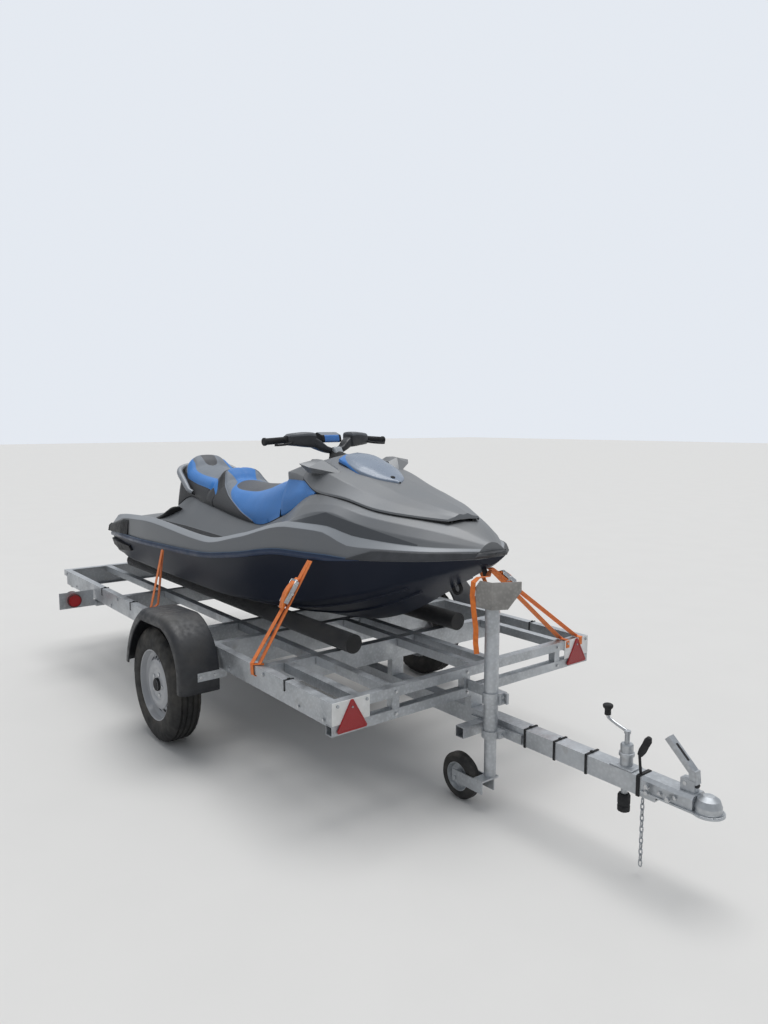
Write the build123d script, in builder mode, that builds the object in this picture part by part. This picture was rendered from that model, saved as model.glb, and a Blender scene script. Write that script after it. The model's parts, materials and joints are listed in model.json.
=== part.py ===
from build123d import *
from collections import namedtuple
from math import cos, radians, sin
import os

# A personal watercraft tied down on its single-axle road trailer.
# Millimetres. +X points to the bow and the coupling, +Y to port, +Z up.
# The origin is on the floor, on the centreline, midway between the trailer's rear end and coupling tip.

os.makedirs("parts", exist_ok=True)

# Trailer, overall
REAR_X = -2269
COUPLING_TIP_X = 2269
FRONT_X = 1141
AXLE_X = -210
HALF_WIDTH = 768
FRAME_TOP = 550
FRAME_BOTTOM = 420

# Galvanised sections
TUBE = 40
TUBE_WALL = 2.5
CHANNEL_DEPTH = 100
CHANNEL_FLANGE = 45
CHANNEL_WALL = 3
REAR_DEPTH = 130
DRAWBAR = 70
DRAWBAR_TOP = 364
DRAWBAR_Z = DRAWBAR_TOP - DRAWBAR / 2
DRAWBAR_REAR_X = 300
DRAWBAR_FRONT_X = 2040

# Road wheels, 155/80 R13
TYRE_R = 289
WHEEL_Y = 862
RIM_R = 177
SPINDLE_R = 17
HUB_BORE_R = SPINDLE_R + 0.05
ARM_Y = 740
ARM_T = 22
AXLE_TUBE = 60
AXLE_TUBE_X = AXLE_X + 150
AXLE_TUBE_Z = 385

# Fenders
FENDER_X = -165
FENDER_SKIN = 4
FENDER_INNER_Y = 773
FENDER_OUTER_Y = 963
FENDER_LIP = 42

# Bow post, its clamps and the jockey wheel
POST_X = 1311
POST_Y = -90
POST_R = 30
POST_FOOT = 300
POST_TOP = 862
LEG_R = 25
LEG_FOOT = 130
JOCKEY_R = 100
JOCKEY_X = 1178
JOCKEY_Y = -126
JOCKEY_HUB_Z = JOCKEY_R
JOCKEY_W = 52
JOCKEY_AXLE_R = 8

# Bunks that carry the hull
BUNK_R = 45
BUNK_Y = 326
BUNK_Z = FRAME_TOP + BUNK_R
BUNK_REAR_X = -2100
BUNK_FRONT_X = 675

# Watercraft
RAIL_HALF = 15
RAIL_PROUD = 13
RAIL_BED = 1.6
BUMPER_PROUD = 14
SINK = 8
BOW_X = 1241
STERN_X = -2120

# Steering: the column leans back, and the bars turn about it
COLUMN_X = 100
COLUMN_Z = 1385
COLUMN_LEAN = 36
STEM_R = 22
STEM_CLEARANCE = 0.5
BAR_R = 13
GRIP_R = 17
GRIP_Z = 1502
GRIP_X = -17
GRIP_START_Y = 262
GRIP_END_Y = 388

# Jet drive
JET_Z = 655
TUNNEL_R = 100
TUNNEL_LENGTH = 380
NOZZLE_X = -2165

# Half sections of the hull and deck mouldings, from the stern to the bow: the keel, the chine,
# the bond line, the lower and upper edges of the gunwale band, the outer and inner edges of the
# footwell, the shoulder under the seat or hood, and the middle of the deck
Station = namedtuple(
    "Station",
    "x keel_z chine_y chine_z bond_y bond_z low_y low_z top_y top_z "
    "foot_y foot_z side_y side_z shoulder_y shoulder_z middle_z",
)
STATIONS = [
    Station(*row)
    for row in (
        (-2120, 560, 420, 672, 460, 806, 452, 884, 430, 912, 398, 908, 330, 912, 190, 920, 925),
        (-1920, 560, 455, 680, 508, 828, 502, 914, 478, 962, 422, 935, 335, 938, 195, 948, 953),
        (-1750, 560, 490, 684, 550, 846, 541, 942, 512, 984, 432, 946, 338, 947, 198, 966, 973),
        (-1560, 560, 512, 688, 580, 861, 571, 976, 541, 1004, 438, 948, 338, 950, 200, 1030, 1038),
        (-1320, 560, 522, 691, 597, 867, 584, 992, 551, 1018, 440, 945, 339, 951, 196, 1118, 1124),
        (-1100, 560, 530, 693, 610, 875, 594, 1003, 560, 1028, 440, 942, 340, 952, 215, 1098, 1104),
        (-330, 560, 525, 692, 600, 903, 584, 970, 550, 995, 440, 928, 355, 942, 260, 1040, 1055),
        (0, 562, 500, 705, 573, 943, 555, 1030, 523, 1052, 440, 985, 380, 1015, 288, 1120, 1130),
        (380, 603, 435, 755, 510, 1000, 492, 1116, 464, 1139, 432, 1165, 385, 1215, 318, 1262, 1266),
        (560, 650, 385, 795, 468, 1001, 442, 1112, 415, 1136, 398, 1198, 352, 1226, 296, 1243, 1247),
        (745, 726, 325, 843, 410, 1004, 388, 1058, 358, 1098, 340, 1150, 302, 1188, 260, 1205, 1209),
        (1060, 910, 170, 955, 255, 1022, 235, 1062, 208, 1077, 190, 1102, 148, 1136, 90, 1160, 1168),
        (1215, 1002, 45, 1012, 84, 1034, 74, 1066, 62, 1076, 50, 1084, 38, 1092, 20, 1098, 1101),
    )
]


def lerp(a, b, t):
    """The point a share t of the way from a to b."""
    return tuple(p + (q - p) * t for p, q in zip(a, b))


def outline(plane, points):
    """A closed straight-sided sketch on a plane."""
    with BuildSketch(plane) as profile:
        with BuildLine():
            Polyline(*points, close=True)
        make_face()
    return profile.sketch


def station_at(x):
    """The half sections interpolated at x."""
    for a, b in zip(STATIONS, STATIONS[1:]):
        if a.x <= x <= b.x:
            return Station(*lerp(a, b, (x - a.x) / (b.x - a.x)))
    raise ValueError(x)


def mirrored(half):
    """A half section from the centreline outwards, closed by its mirror image."""
    return list(half) + [(-y, z) for y, z in reversed(half) if y > 0]


def skin(sections, mode=Mode.ADD):
    """Loft straight facets through (x, half section) pairs."""
    loft([outline(Plane.YZ.offset(x), mirrored(half)) for x, half in sections], ruled=True, mode=mode)


def strip(sections, side):
    """Loft a one-sided rail through (x, closed section) pairs; side is 1 to port, -1 to starboard."""
    loft([outline(Plane.YZ.offset(x), [(side * y, z) for y, z in ring]) for x, ring in sections], ruled=True)


def block(x_range, y_range, z_range, mode=Mode.ADD):
    """A rectangular bar between the given limits."""
    with BuildSketch(Plane.XY.offset(z_range[0])) as foot:
        with Locations((sum(x_range) / 2, sum(y_range) / 2)):
            Rectangle(x_range[1] - x_range[0], y_range[1] - y_range[0])
    extrude(foot.sketch, amount=z_range[1] - z_range[0], mode=mode)


def along(start, end):
    """A plane at start that looks towards end, with its local X level, and the distance."""
    direction = Vector(*end) - Vector(*start)
    sideways = Vector(0, 0, 1).cross(direction)
    if sideways.length < 1e-6:
        sideways = Vector(0, 1, 0)
    return Plane(origin=start, x_dir=sideways, z_dir=direction), direction.length


def square_tube(start, end, size=TUBE, wall=TUBE_WALL):
    """A hollow square tube between two points, with open ends."""
    plane, length = along(start, end)
    with BuildSketch(plane) as profile:
        Rectangle(size, size)
        Rectangle(size - 2 * wall, size - 2 * wall, mode=Mode.SUBTRACT)
    extrude(profile.sketch, amount=length)


def flat_bar(start, end, across, upright):
    """A solid bar of rectangular section between two points."""
    plane, length = along(start, end)
    with BuildSketch(plane) as profile:
        Rectangle(across, upright)
    extrude(profile.sketch, amount=length)


def rod(start, end, radius, mode=Mode.ADD):
    """A round bar between two points."""
    plane, length = along(start, end)
    with BuildSketch(plane) as profile:
        Circle(radius)
    extrude(profile.sketch, amount=length, mode=mode)


def channel(plane, length, depth, flange=CHANNEL_FLANGE, wall=CHANNEL_WALL):
    """A C-channel hung from its plane's origin, its flanges along local X."""
    section = [
        (0, 0),
        (flange, 0),
        (flange, -wall),
        (wall, -wall),
        (wall, wall - depth),
        (flange, wall - depth),
        (flange, -depth),
        (0, -depth),
    ]
    extrude(outline(plane, section), amount=length)


def finish(piece, name):
    """Label a finished piece and write it to its own file."""
    piece.part.label = name
    export_step(piece.part, f"parts/{name}.step")


# Hull: a vee bottom, hard chines and flared topsides, moulded as a tub with the pump tunnel
# and the engine's bearers, open at the top where the deck closes it
WALL = 10
CAVITY_END_X = 1060
ENGINE_X = (-440, 180)
ENGINE_HALF_Y = 180
ENGINE_Z = (660, 890)
BEARER_Y = (120, 165)
TUNNEL_END_X = STERN_X + TUNNEL_LENGTH
CAVITY_STATIONS = [STATIONS[0]._replace(x=STERN_X + WALL)] + [s for s in STATIONS[1:] if s.x <= CAVITY_END_X]

with BuildPart() as hull_cavity:
    skin(
        [
            (
                s.x,
                [
                    (0, s.keel_z + WALL + 2),
                    (s.chine_y - WALL, s.chine_z + WALL / 2),
                    (s.bond_y - WALL, s.bond_z),
                    (s.bond_y - WALL, s.bond_z + WALL),
                    (0, s.bond_z + WALL),
                ],
            )
            for s in CAVITY_STATIONS
        ]
    )
    tunnel_side = TUNNEL_R + WALL
    block(
        (STERN_X, TUNNEL_END_X + WALL),
        (-tunnel_side, tunnel_side),
        (500, JET_Z + tunnel_side),
        mode=Mode.SUBTRACT,
    )
    for side in (-1, 1):
        block(ENGINE_X, sorted(side * y for y in BEARER_Y), (500, ENGINE_Z[0]), mode=Mode.SUBTRACT)

with BuildPart() as hull:
    skin(
        [
            (s.x, [(0, s.keel_z), (s.chine_y, s.chine_z), (s.bond_y, s.bond_z), (0, s.bond_z)])
            for s in STATIONS
        ]
    )
    add(hull_cavity.part, mode=Mode.SUBTRACT)
    rod((STERN_X - 10, 0, JET_Z), (TUNNEL_END_X, 0, JET_Z), TUNNEL_R, mode=Mode.SUBTRACT)
    block((STERN_X - 10, TUNNEL_END_X), (-TUNNEL_R, TUNNEL_R), (500, JET_Z), mode=Mode.SUBTRACT)
finish(hull, "hull")

with BuildPart() as engine:
    block(ENGINE_X, (-ENGINE_HALF_Y, ENGINE_HALF_Y), ENGINE_Z)
finish(engine, "engine")

# Deck: a thin moulding with gunwales, footwells and the raised pedestal, closed at the transom,
# solid in the tip of the bow, with the steering console on top and a hatch for the storage tub
TUB_SIDE = ((370, 1060), (720, 1060), (720, 1211), (370, 1262))
TUB_HALF_Y = 180
TUB_WALL = 8
CONSOLE_X = (-20, 345)
CONSOLE_HALF_Y = 200
CONSOLE_Z = (1100, 1300)


def deck_outside(s):
    """Half section of the deck's outside, from the bond line to the middle."""
    return [
        (s.bond_y, s.bond_z),
        (s.low_y, s.low_z),
        (s.top_y, s.top_z),
        (s.foot_y, s.foot_z),
        (s.side_y, s.side_z),
        (s.shoulder_y, s.shoulder_z),
        (0, s.middle_z),
    ]


def deck_inside(s):
    """Half section of the deck's inside, from the middle to the bond line."""
    return [
        (0, s.middle_z - WALL),
        (s.shoulder_y - WALL, s.shoulder_z - WALL),
        (s.side_y - WALL / 2, s.side_z - WALL),
        (s.foot_y, s.foot_z - WALL),
        (s.top_y - WALL, s.top_z - WALL),
        (s.low_y - WALL, s.low_z - WALL / 2),
        (s.bond_y - WALL, s.bond_z),
    ]


def deck_shell(s):
    """Closed hat section of the moulding: round the outside and back along the inside."""
    half = deck_outside(s)
    inside = deck_inside(s)
    return half + [(-y, z) for y, z in half[-2::-1]] + [(-y, z) for y, z in inside[::-1]] + inside[1:]


with BuildPart() as deck:
    shell = [station_at(STERN_X + WALL)] + [s for s in STATIONS[1:] if s.x <= CAVITY_END_X]
    loft([outline(Plane.YZ.offset(s.x), deck_shell(s)) for s in shell], ruled=True)
    for ends in ((STATIONS[0], shell[0]), STATIONS[-2:]):
        skin([(s.x, [(0, s.bond_z)] + deck_outside(s)) for s in ends])
    block(CONSOLE_X, (-CONSOLE_HALF_Y, CONSOLE_HALF_Y), CONSOLE_Z)
    hatch = [TUB_SIDE[0], TUB_SIDE[1], (720, 1400), (370, 1400)]
    extrude(outline(Plane.XZ.offset(-TUB_HALF_Y), hatch), amount=2 * TUB_HALF_Y, mode=Mode.SUBTRACT)
finish(deck, "deck")

with BuildPart() as storage_tub:
    extrude(outline(Plane.XZ.offset(-TUB_HALF_Y), TUB_SIDE), amount=2 * TUB_HALF_Y)
    block(
        (TUB_SIDE[0][0] + TUB_WALL, TUB_SIDE[1][0] - TUB_WALL),
        (TUB_WALL - TUB_HALF_Y, TUB_HALF_Y - TUB_WALL),
        (TUB_SIDE[0][1] + TUB_WALL, 1400),
        mode=Mode.SUBTRACT,
    )
finish(storage_tub, "storage_tub")

# Rub rail along the bond line, one length each side, and the bumper that wraps the bow


def rail_ring(s):
    """Closed section of the rub rail at one station, bedded on the hull and deck sides."""
    bond = (s.bond_y + RAIL_BED, s.bond_z)
    chine = (s.chine_y + RAIL_BED, s.chine_z)
    low = (s.low_y + RAIL_BED, s.low_z)
    return [
        lerp(bond, chine, RAIL_HALF / (s.bond_z - s.chine_z)),
        (s.bond_y + RAIL_PROUD, s.bond_z - RAIL_HALF / 2),
        (s.bond_y + RAIL_PROUD, s.bond_z + RAIL_HALF / 2),
        lerp(bond, low, RAIL_HALF / (s.low_z - s.bond_z)),
        bond,
    ]


with BuildPart() as rub_rail:
    for side in (-1, 1):
        strip([(s.x, rail_ring(s)) for s in STATIONS if s.x <= 560], side)
finish(rub_rail, "rub_rail")

with BuildPart() as bow_bumper:
    for side in (-1, 1):
        strip(
            [
                (
                    s.x,
                    [
                        (s.bond_y - SINK, s.bond_z),
                        (s.bond_y, s.bond_z),
                        (s.bond_y + BUMPER_PROUD, s.bond_z + 3),
                        (s.low_y + BUMPER_PROUD, s.low_z - 3),
                        (s.low_y, s.low_z),
                        (s.low_y - SINK, s.low_z),
                    ],
                )
                for s in STATIONS
                if s.x >= 745
            ],
            side,
        )
    bow = STATIONS[-1]
    rear_end = [
        (0, bow.bond_z),
        (bow.bond_y + 12, bow.bond_z + 3),
        (bow.low_y + 12, bow.low_z - 3),
        (0, 1096),
    ]
    skin([(bow.x, rear_end), (BOW_X, [(0, 1041), (26, 1045), (22, 1062), (0, 1066)])])
    add(deck.part, mode=Mode.SUBTRACT)
finish(bow_bumper, "bow_bumper")

# Column cover: the fixed cowl round the steering column, on top of the console
HOOD_REAR_X = 171
COVER_SECTIONS = (
    # x, edge y, edge z, crease y, crease z, middle z
    (-30, 235, 1335, 160, 1368, 1374),
    (60, 252, 1333, 185, 1385, 1408),
    (165, 268, 1320, 205, 1396, 1436),
)
COLUMN_DIR = (-sin(radians(COLUMN_LEAN)), 0, cos(radians(COLUMN_LEAN)))


def on_column(distance):
    """A point on the steering axis, measured up the column."""
    return (COLUMN_X + distance * COLUMN_DIR[0], 0, COLUMN_Z + distance * COLUMN_DIR[2])


with BuildPart() as column_cover:
    foot = CONSOLE_Z[1]
    skin(
        [
            (x, [(0, foot), (edge_y - 10, foot), (edge_y, edge_z), (crease_y, crease_z), (0, middle_z)])
            for x, edge_y, edge_z, crease_y, crease_z, middle_z in COVER_SECTIONS
        ]
    )
    rod(on_column(-40), on_column(90), STEM_R + STEM_CLEARANCE, mode=Mode.SUBTRACT)
finish(column_cover, "column_cover")

# Hood: a hinged shell over the storage bin, with its front edge at the hinge
HOOD_SECTIONS = (
    # x, edge y, edge z, crease y, crease z, middle z
    (HOOD_REAR_X, 270, 1322, 206, 1396, 1438),
    (380, 318, 1268, 240, 1348, 1392),
    (560, 296, 1249, 218, 1296, 1326),
    (745, 260, 1211, 178, 1248, 1266),
    (1000, 124, 1181, 80, 1202, 1213),
    (1044, 94, 1178, 52, 1195, 1201),
)
HOOD_WALL = 12
HOOD_RIM = 8
HINGE_X = 1036
HINGE_Z = 1186
HINGE_HALF_Y = 70
HINGE_PIN_R = 3.5

with BuildPart() as hood_form:
    skin(
        [
            (x, [(0, low), (edge_y, low), (edge_y, low + HOOD_RIM), (crease_y, crease_z), (0, middle_z)])
            for x, edge_y, low, crease_y, crease_z, middle_z in HOOD_SECTIONS
        ]
    )

with BuildPart() as hood:
    add(hood_form.part)
    skin(
        [
            (
                x + inset,
                [
                    (0, edge_z - 30),
                    (edge_y - HOOD_WALL - 4, edge_z - 30),
                    (edge_y - HOOD_WALL - 4, edge_z + 1),
                    (crease_y - HOOD_WALL, crease_z - HOOD_WALL),
                    (0, middle_z - HOOD_WALL),
                ],
            )
            for inset, (x, edge_y, edge_z, crease_y, crease_z, middle_z) in zip(
                (HOOD_WALL, 0, 0, 0, 0), HOOD_SECTIONS
            )
        ],
        mode=Mode.SUBTRACT,
    )
    hinge_end = HINGE_HALF_Y + 1
    rod((HINGE_X, -hinge_end, HINGE_Z), (HINGE_X, hinge_end, HINGE_Z), HINGE_PIN_R + 0.4, mode=Mode.SUBTRACT)
    for side in (-1, 1):
        block(
            (HINGE_X - 12, HINGE_X + 12),
            sorted((side * (HINGE_HALF_Y - 14), side * (HINGE_HALF_Y + 4))),
            (1150, HINGE_Z + 8),
            mode=Mode.SUBTRACT,
        )
finish(hood, "hood")

with BuildPart() as hood_hinge:
    rod((HINGE_X, -HINGE_HALF_Y, HINGE_Z), (HINGE_X, HINGE_HALF_Y, HINGE_Z), HINGE_PIN_R)
    for side in (-1, 1):
        block(
            (HINGE_X - 5, HINGE_X + 5),
            sorted((side * (HINGE_HALF_Y - 10), side * HINGE_HALF_Y)),
            (1160, HINGE_Z + 3),
        )
    add(deck.part, mode=Mode.SUBTRACT)
finish(hood_hinge, "hood_hinge")

# Visor: the glossy screen on the hood's crown
with BuildPart() as visor:
    skin(
        [
            (262, [(0, 1380), (122, 1405), (118, 1420), (80, 1438), (0, 1448)]),
            (420, [(0, 1340), (128, 1350), (124, 1374), (80, 1394), (0, 1402)]),
            (594, [(0, 1270), (30, 1290), (28, 1322), (14, 1325), (0, 1326)]),
        ]
    )
    add(hood_form.part, mode=Mode.SUBTRACT)
finish(visor, "visor")

# Mirrors: swept arrowheads on the hood's creases, one each side
MIRROR_SECTIONS = (
    # x, then y and z of the inner foot, the lower edge, the outer tip and the ridge
    (200, 212, 1352, 262, 1360, 270, 1386, 236, 1418),
    (252, 205, 1352, 292, 1355, 345, 1402, 240, 1421),
    (292, 200, 1350, 276, 1352, 314, 1384, 236, 1419),
    (374, 172, 1345, 198, 1349, 200, 1355, 184, 1362),
)


def mirror_part(side):
    """One mirror housing, trimmed to the hood."""
    rings = []
    for x, *points in MIRROR_SECTIONS:
        ring = list(zip(points[::2], points[1::2]))
        rings.append((x, ring + [(ring[0][0] - 22, ring[3][1] - 22)]))
    with BuildPart() as housing:
        strip(rings, side)
        add(hood_form.part, mode=Mode.SUBTRACT)
    return housing


for side, word in ((1, "left"), (-1, "right")):
    finish(mirror_part(side), f"mirror_{word}")

# Handlebar: stem, bars, the pad over the clamp, switch pods and grips, which all turn together
ARM_SECTIONS = (
    # y, rear x, front x, low z, high z
    (0, 22, 78, 1432, 1466),
    (45, 14, 74, 1438, 1478),
    (85, -8, 66, 1452, 1512),
    (120, -30, 58, 1468, 1545),
)
BAR_ROOT = (14, 100, 1488)
BAR_BEND_Y = 150
BAR_BEND = (12, 1494)

with BuildPart() as handlebar:
    rod(on_column(-38), on_column(130), STEM_R)
    for side in (-1, 1):
        loft(
            [
                outline(
                    Plane(origin=(0, side * y, 0), x_dir=(1, 0, 0), z_dir=(0, -1, 0)),
                    [(rear, low), (front, low + 6), (front, high - 12), (rear + 14, high), (rear, high - 10)],
                )
                for y, rear, front, low, high in ARM_SECTIONS
            ],
            ruled=True,
        )
        root = (BAR_ROOT[0], side * BAR_ROOT[1], BAR_ROOT[2])
        rod(root, (BAR_BEND[0], side * BAR_BEND_Y, BAR_BEND[1]), BAR_R)
        rod((BAR_BEND[0], side * (BAR_BEND_Y - 6), BAR_BEND[1]), (GRIP_X, side * GRIP_END_Y, GRIP_Z), BAR_R)
finish(handlebar, "handlebar")

with BuildPart() as bar_pad:
    pad_side = [(-66, 1512), (-58, 1540), (-20, 1552), (30, 1535), (38, 1500), (20, 1494), (-40, 1500)]
    extrude(outline(Plane.XZ.offset(-62), pad_side), amount=124)
    add(handlebar.part, mode=Mode.SUBTRACT)
finish(bar_pad, "bar_pad")

with BuildPart() as switch_pods:
    for side in (-1, 1):
        loft(
            [
                outline(
                    Plane(origin=(0, side * y, 0), x_dir=(1, 0, 0), z_dir=(0, -1, 0)),
                    [(rear, low), (front, low), (front, high - 14), (rear + 12, high), (rear, high - 8)],
                )
                for y, rear, front, low, high in (
                    (118, -38, 62, 1466, 1552),
                    (190, -44, 46, 1476, 1548),
                    (255, -42, 20, 1482, 1540),
                )
            ],
            ruled=True,
        )
    add(handlebar.part, mode=Mode.SUBTRACT)
finish(switch_pods, "switch_pods")

with BuildPart() as grips:
    for side in (-1, 1):
        share = (GRIP_START_Y - BAR_BEND_Y) / (GRIP_END_Y - BAR_BEND_Y)
        bend = (BAR_BEND[0], side * BAR_BEND_Y, BAR_BEND[1])
        start = lerp(bend, (GRIP_X, side * GRIP_END_Y, GRIP_Z), share)
        rod(start, (GRIP_X - 0.5, side * (GRIP_END_Y + 3), GRIP_Z), GRIP_R)
    add(handlebar.part, mode=Mode.SUBTRACT)
finish(grips, "grips")

# Seats: closed solids for the two saddles, seated on the pedestal


def saddle(rows):
    """Loft a saddle on the pedestal; rows give x, y and z of side, shoulder and seam, then middle z."""
    sections = []
    for x, side_y, side_z, shoulder_y, shoulder_z, seam_y, seam_z, middle_z in rows:
        s = station_at(x)
        sections.append(
            (
                x,
                [
                    (0, s.middle_z - SINK),
                    (s.shoulder_y, s.shoulder_z - SINK),
                    (s.shoulder_y, s.shoulder_z),
                    (side_y, side_z),
                    (shoulder_y, shoulder_z),
                    (seam_y, seam_z),
                    (0, middle_z),
                ],
            )
        )
    skin(sections)
    add(deck.part, mode=Mode.SUBTRACT)


SEAT_JOINT_X = -1036
with BuildPart() as seat_rear:
    saddle(
        [
            (-1530, 170, 1225, 110, 1305, 60, 1340, 1350),
            (-1500, 182, 1215, 135, 1318, 80, 1366, 1377),
            (-1450, 190, 1200, 160, 1285, 90, 1338, 1350),
            (-1400, 196, 1185, 168, 1262, 104, 1292, 1305),
            (-1320, 200, 1172, 173, 1247, 116, 1277, 1298),
            (-1250, 204, 1160, 178, 1234, 128, 1262, 1292),
            (SEAT_JOINT_X - 1, 216, 1145, 184, 1222, 130, 1240, 1285),
        ]
    )
finish(seat_rear, "seat_rear")

with BuildPart() as seat_front:
    saddle(
        [
            (SEAT_JOINT_X, 220, 1148, 150, 1240, 95, 1276, 1288),
            (-1005, 224, 1146, 152, 1246, 100, 1298, 1311),
            (-965, 228, 1136, 160, 1222, 102, 1268, 1282),
            (-920, 231, 1126, 170, 1198, 112, 1226, 1240),
            (-700, 243, 1100, 196, 1168, 140, 1200, 1231),
            (-550, 250, 1095, 202, 1166, 140, 1202, 1236),
            (-400, 255, 1102, 205, 1184, 130, 1226, 1252),
            (-250, 261, 1126, 209, 1224, 112, 1272, 1288),
            (-34, 268, 1176, 218, 1290, 90, 1322, 1332),
        ]
    )
    for side in (-1, 1):
        strip(
            [
                (-34, [(202, 1135), (284, 1112), (280, 1190), (232, 1298), (202, 1298)]),
                (0, [(202, 1128), (287, 1121), (284, 1200), (240, 1298), (202, 1298)]),
                (165, [(202, 1194), (300, 1184), (298, 1240), (264, 1298), (202, 1298)]),
                (345, [(202, 1255), (315, 1251), (317, 1260), (312, 1268), (202, 1266)]),
            ],
            side,
        )
    add(deck.part, mode=Mode.SUBTRACT)
finish(seat_front, "seat_front")

# Grab rail: a hoop behind the rear saddle
with BuildPart() as grab_rail:
    with BuildLine() as hoop:
        FilletPolyline(
            (-1290, -232, 1160),
            (-1530, -205, 1292),
            (-1590, 0, 1318),
            (-1530, 205, 1292),
            (-1290, 232, 1160),
            radius=60,
        )
    with BuildSketch(Plane(origin=hoop.line @ 0, z_dir=hoop.line % 0)):
        Circle(15)
    sweep()
    add(seat_rear.part, mode=Mode.SUBTRACT)
finish(grab_rail, "grab_rail")

# Footwell mats and the rear platform mat
with BuildPart() as mats:
    for side in (-1, 1):
        strip(
            [
                (
                    s.x + (40 if s is STATIONS[0] else 0),
                    [
                        (s.side_y + 6, s.side_z - SINK),
                        (s.foot_y - 6, s.foot_z - SINK),
                        (s.foot_y - 6, s.foot_z + 5),
                        (s.side_y + 6, s.side_z + 5),
                    ],
                )
                for s in STATIONS
                if s.x <= -330
            ],
            side,
        )
    add(deck.part, mode=Mode.SUBTRACT)
finish(mats, "mats")

# Sponsons low on the topsides near the stern, and the stern's corner bumpers
with BuildPart() as sponsons:
    for side in (-1, 1):
        strip(
            [
                (-2060, [(447, 736), (472, 734), (486, 780), (462, 788)]),
                (-1760, [(505, 742), (538, 738), (560, 800), (530, 808)]),
                (-1480, [(546, 770), (562, 768), (576, 800), (559, 806)]),
            ],
            side,
        )
    add(hull.part, mode=Mode.SUBTRACT)
finish(sponsons, "sponsons")

GUARD_PROUD = 22
GUARD_X = (-1450, -1560, -1750, -1920, STERN_X, STERN_X - 30)


def guard_ring(x):
    """Closed section of the stern guard, between the rub rail and the gunwale band."""
    s = station_at(max(x, STERN_X))
    proud = 8 if x == GUARD_X[0] else GUARD_PROUD
    return [
        (s.bond_y + RAIL_BED, s.bond_z + RAIL_HALF + 2),
        (s.bond_y + proud, s.bond_z + RAIL_HALF + 4),
        (s.low_y + proud, s.low_z - 20),
        (s.low_y + RAIL_BED + 2, s.low_z - 6),
    ]


with BuildPart() as stern_bumpers:
    stern = STATIONS[0]
    for side in (-1, 1):
        strip([(x, guard_ring(x)) for x in GUARD_X], side)
        strip(
            [
                (x, [(360, 812), (stern.bond_y + 3, 818), (stern.low_y + 5, stern.low_z - 8), (360, 880)])
                for x in (STERN_X - 30, STERN_X)
            ],
            side,
        )
finish(stern_bumpers, "stern_bumpers")

# Jet drive in its tunnel: pump housing and outlet, ride plate, steering nozzle and reverse bucket
PUMP_R = 82
OUTLET_R = 34
CHEEK_Y = (72, 78)
EAR_Y = (81, 87)
PIVOT_PIN_R = 5
NOZZLE_PIN = 58
BUCKET_R = (84, 92)
BUCKET_ANGLES = (85, 98, 111, 124, 137, 150)

with BuildPart() as jet_pump:
    rod((TUNNEL_END_X, 0, JET_Z), (STERN_X + 4, 0, JET_Z), PUMP_R)
    rod((TUNNEL_END_X, 0, JET_Z), (STERN_X + 20, 0, JET_Z), PUMP_R - 8, mode=Mode.SUBTRACT)
    rod((STERN_X + 4, 0, JET_Z), (NOZZLE_X - 9, 0, JET_Z), OUTLET_R)
    rod((NOZZLE_X, 0, JET_Z - NOZZLE_PIN), (NOZZLE_X, 0, JET_Z + NOZZLE_PIN), PIVOT_PIN_R)
    rod((NOZZLE_X - 10, 0, JET_Z), (STERN_X + 60, 0, JET_Z), OUTLET_R - 5, mode=Mode.SUBTRACT)
    for side in (-1, 1):
        block((NOZZLE_X - 13, STERN_X + 30), sorted(side * y for y in EAR_Y), (JET_Z - 12, JET_Z + 12))
        block((STERN_X + 6, STERN_X + 30), sorted((side * 60, side * EAR_Y[1])), (JET_Z - 12, JET_Z + 12))
        rod((NOZZLE_X, side * EAR_Y[1], JET_Z), (NOZZLE_X, side * (CHEEK_Y[0] - 1), JET_Z), PIVOT_PIN_R)
finish(jet_pump, "jet_pump")

with BuildPart() as ride_plate:
    block((STERN_X - 20, TUNNEL_END_X - 5), (1 - TUNNEL_R, TUNNEL_R - 1), (560, 568))
    for y in (-45, -15, 15, 45):
        block((STERN_X + 40, STERN_X + 300), (y - 3, y + 3), (552, 560))
finish(ride_plate, "ride_plate")

with BuildPart() as jet_nozzle:
    with BuildSketch(Plane.XZ) as nozzle_half:
        with BuildLine():
            Polyline(
                (NOZZLE_X + 14, JET_Z + 46),
                (NOZZLE_X + 14, JET_Z + 55),
                (NOZZLE_X - 60, JET_Z + 46),
                (NOZZLE_X - 60, JET_Z + 38),
                close=True,
            )
        make_face()
    revolve(nozzle_half.sketch, axis=Axis((0, 0, JET_Z), (1, 0, 0)))
    pin_top = JET_Z + NOZZLE_PIN + 5
    rod((NOZZLE_X, 0, 2 * JET_Z - pin_top), (NOZZLE_X, 0, pin_top), PIVOT_PIN_R + 0.4, mode=Mode.SUBTRACT)
finish(jet_nozzle, "jet_nozzle")


def bucket_arc(radius, angles):
    """Points round the bucket's pivot in the side view."""
    return [(NOZZLE_X + radius * cos(radians(a)), JET_Z + radius * sin(radians(a))) for a in angles]


with BuildPart() as reverse_bucket:
    cup = bucket_arc(BUCKET_R[1], BUCKET_ANGLES) + bucket_arc(BUCKET_R[0], BUCKET_ANGLES[::-1])
    extrude(outline(Plane.XZ.offset(-CHEEK_Y[1]), cup), amount=2 * CHEEK_Y[1])
    cheek = bucket_arc(BUCKET_R[1], BUCKET_ANGLES) + bucket_arc(14, (190, 245, 300, 355, 410))
    for side in (-1, 1):
        extrude(outline(Plane.XZ.offset(side * CHEEK_Y[0]), cheek), amount=side * (CHEEK_Y[1] - CHEEK_Y[0]))
    rod((NOZZLE_X, -90, JET_Z), (NOZZLE_X, 90, JET_Z), PIVOT_PIN_R + 0.4, mode=Mode.SUBTRACT)
finish(reverse_bucket, "reverse_bucket")

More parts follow.
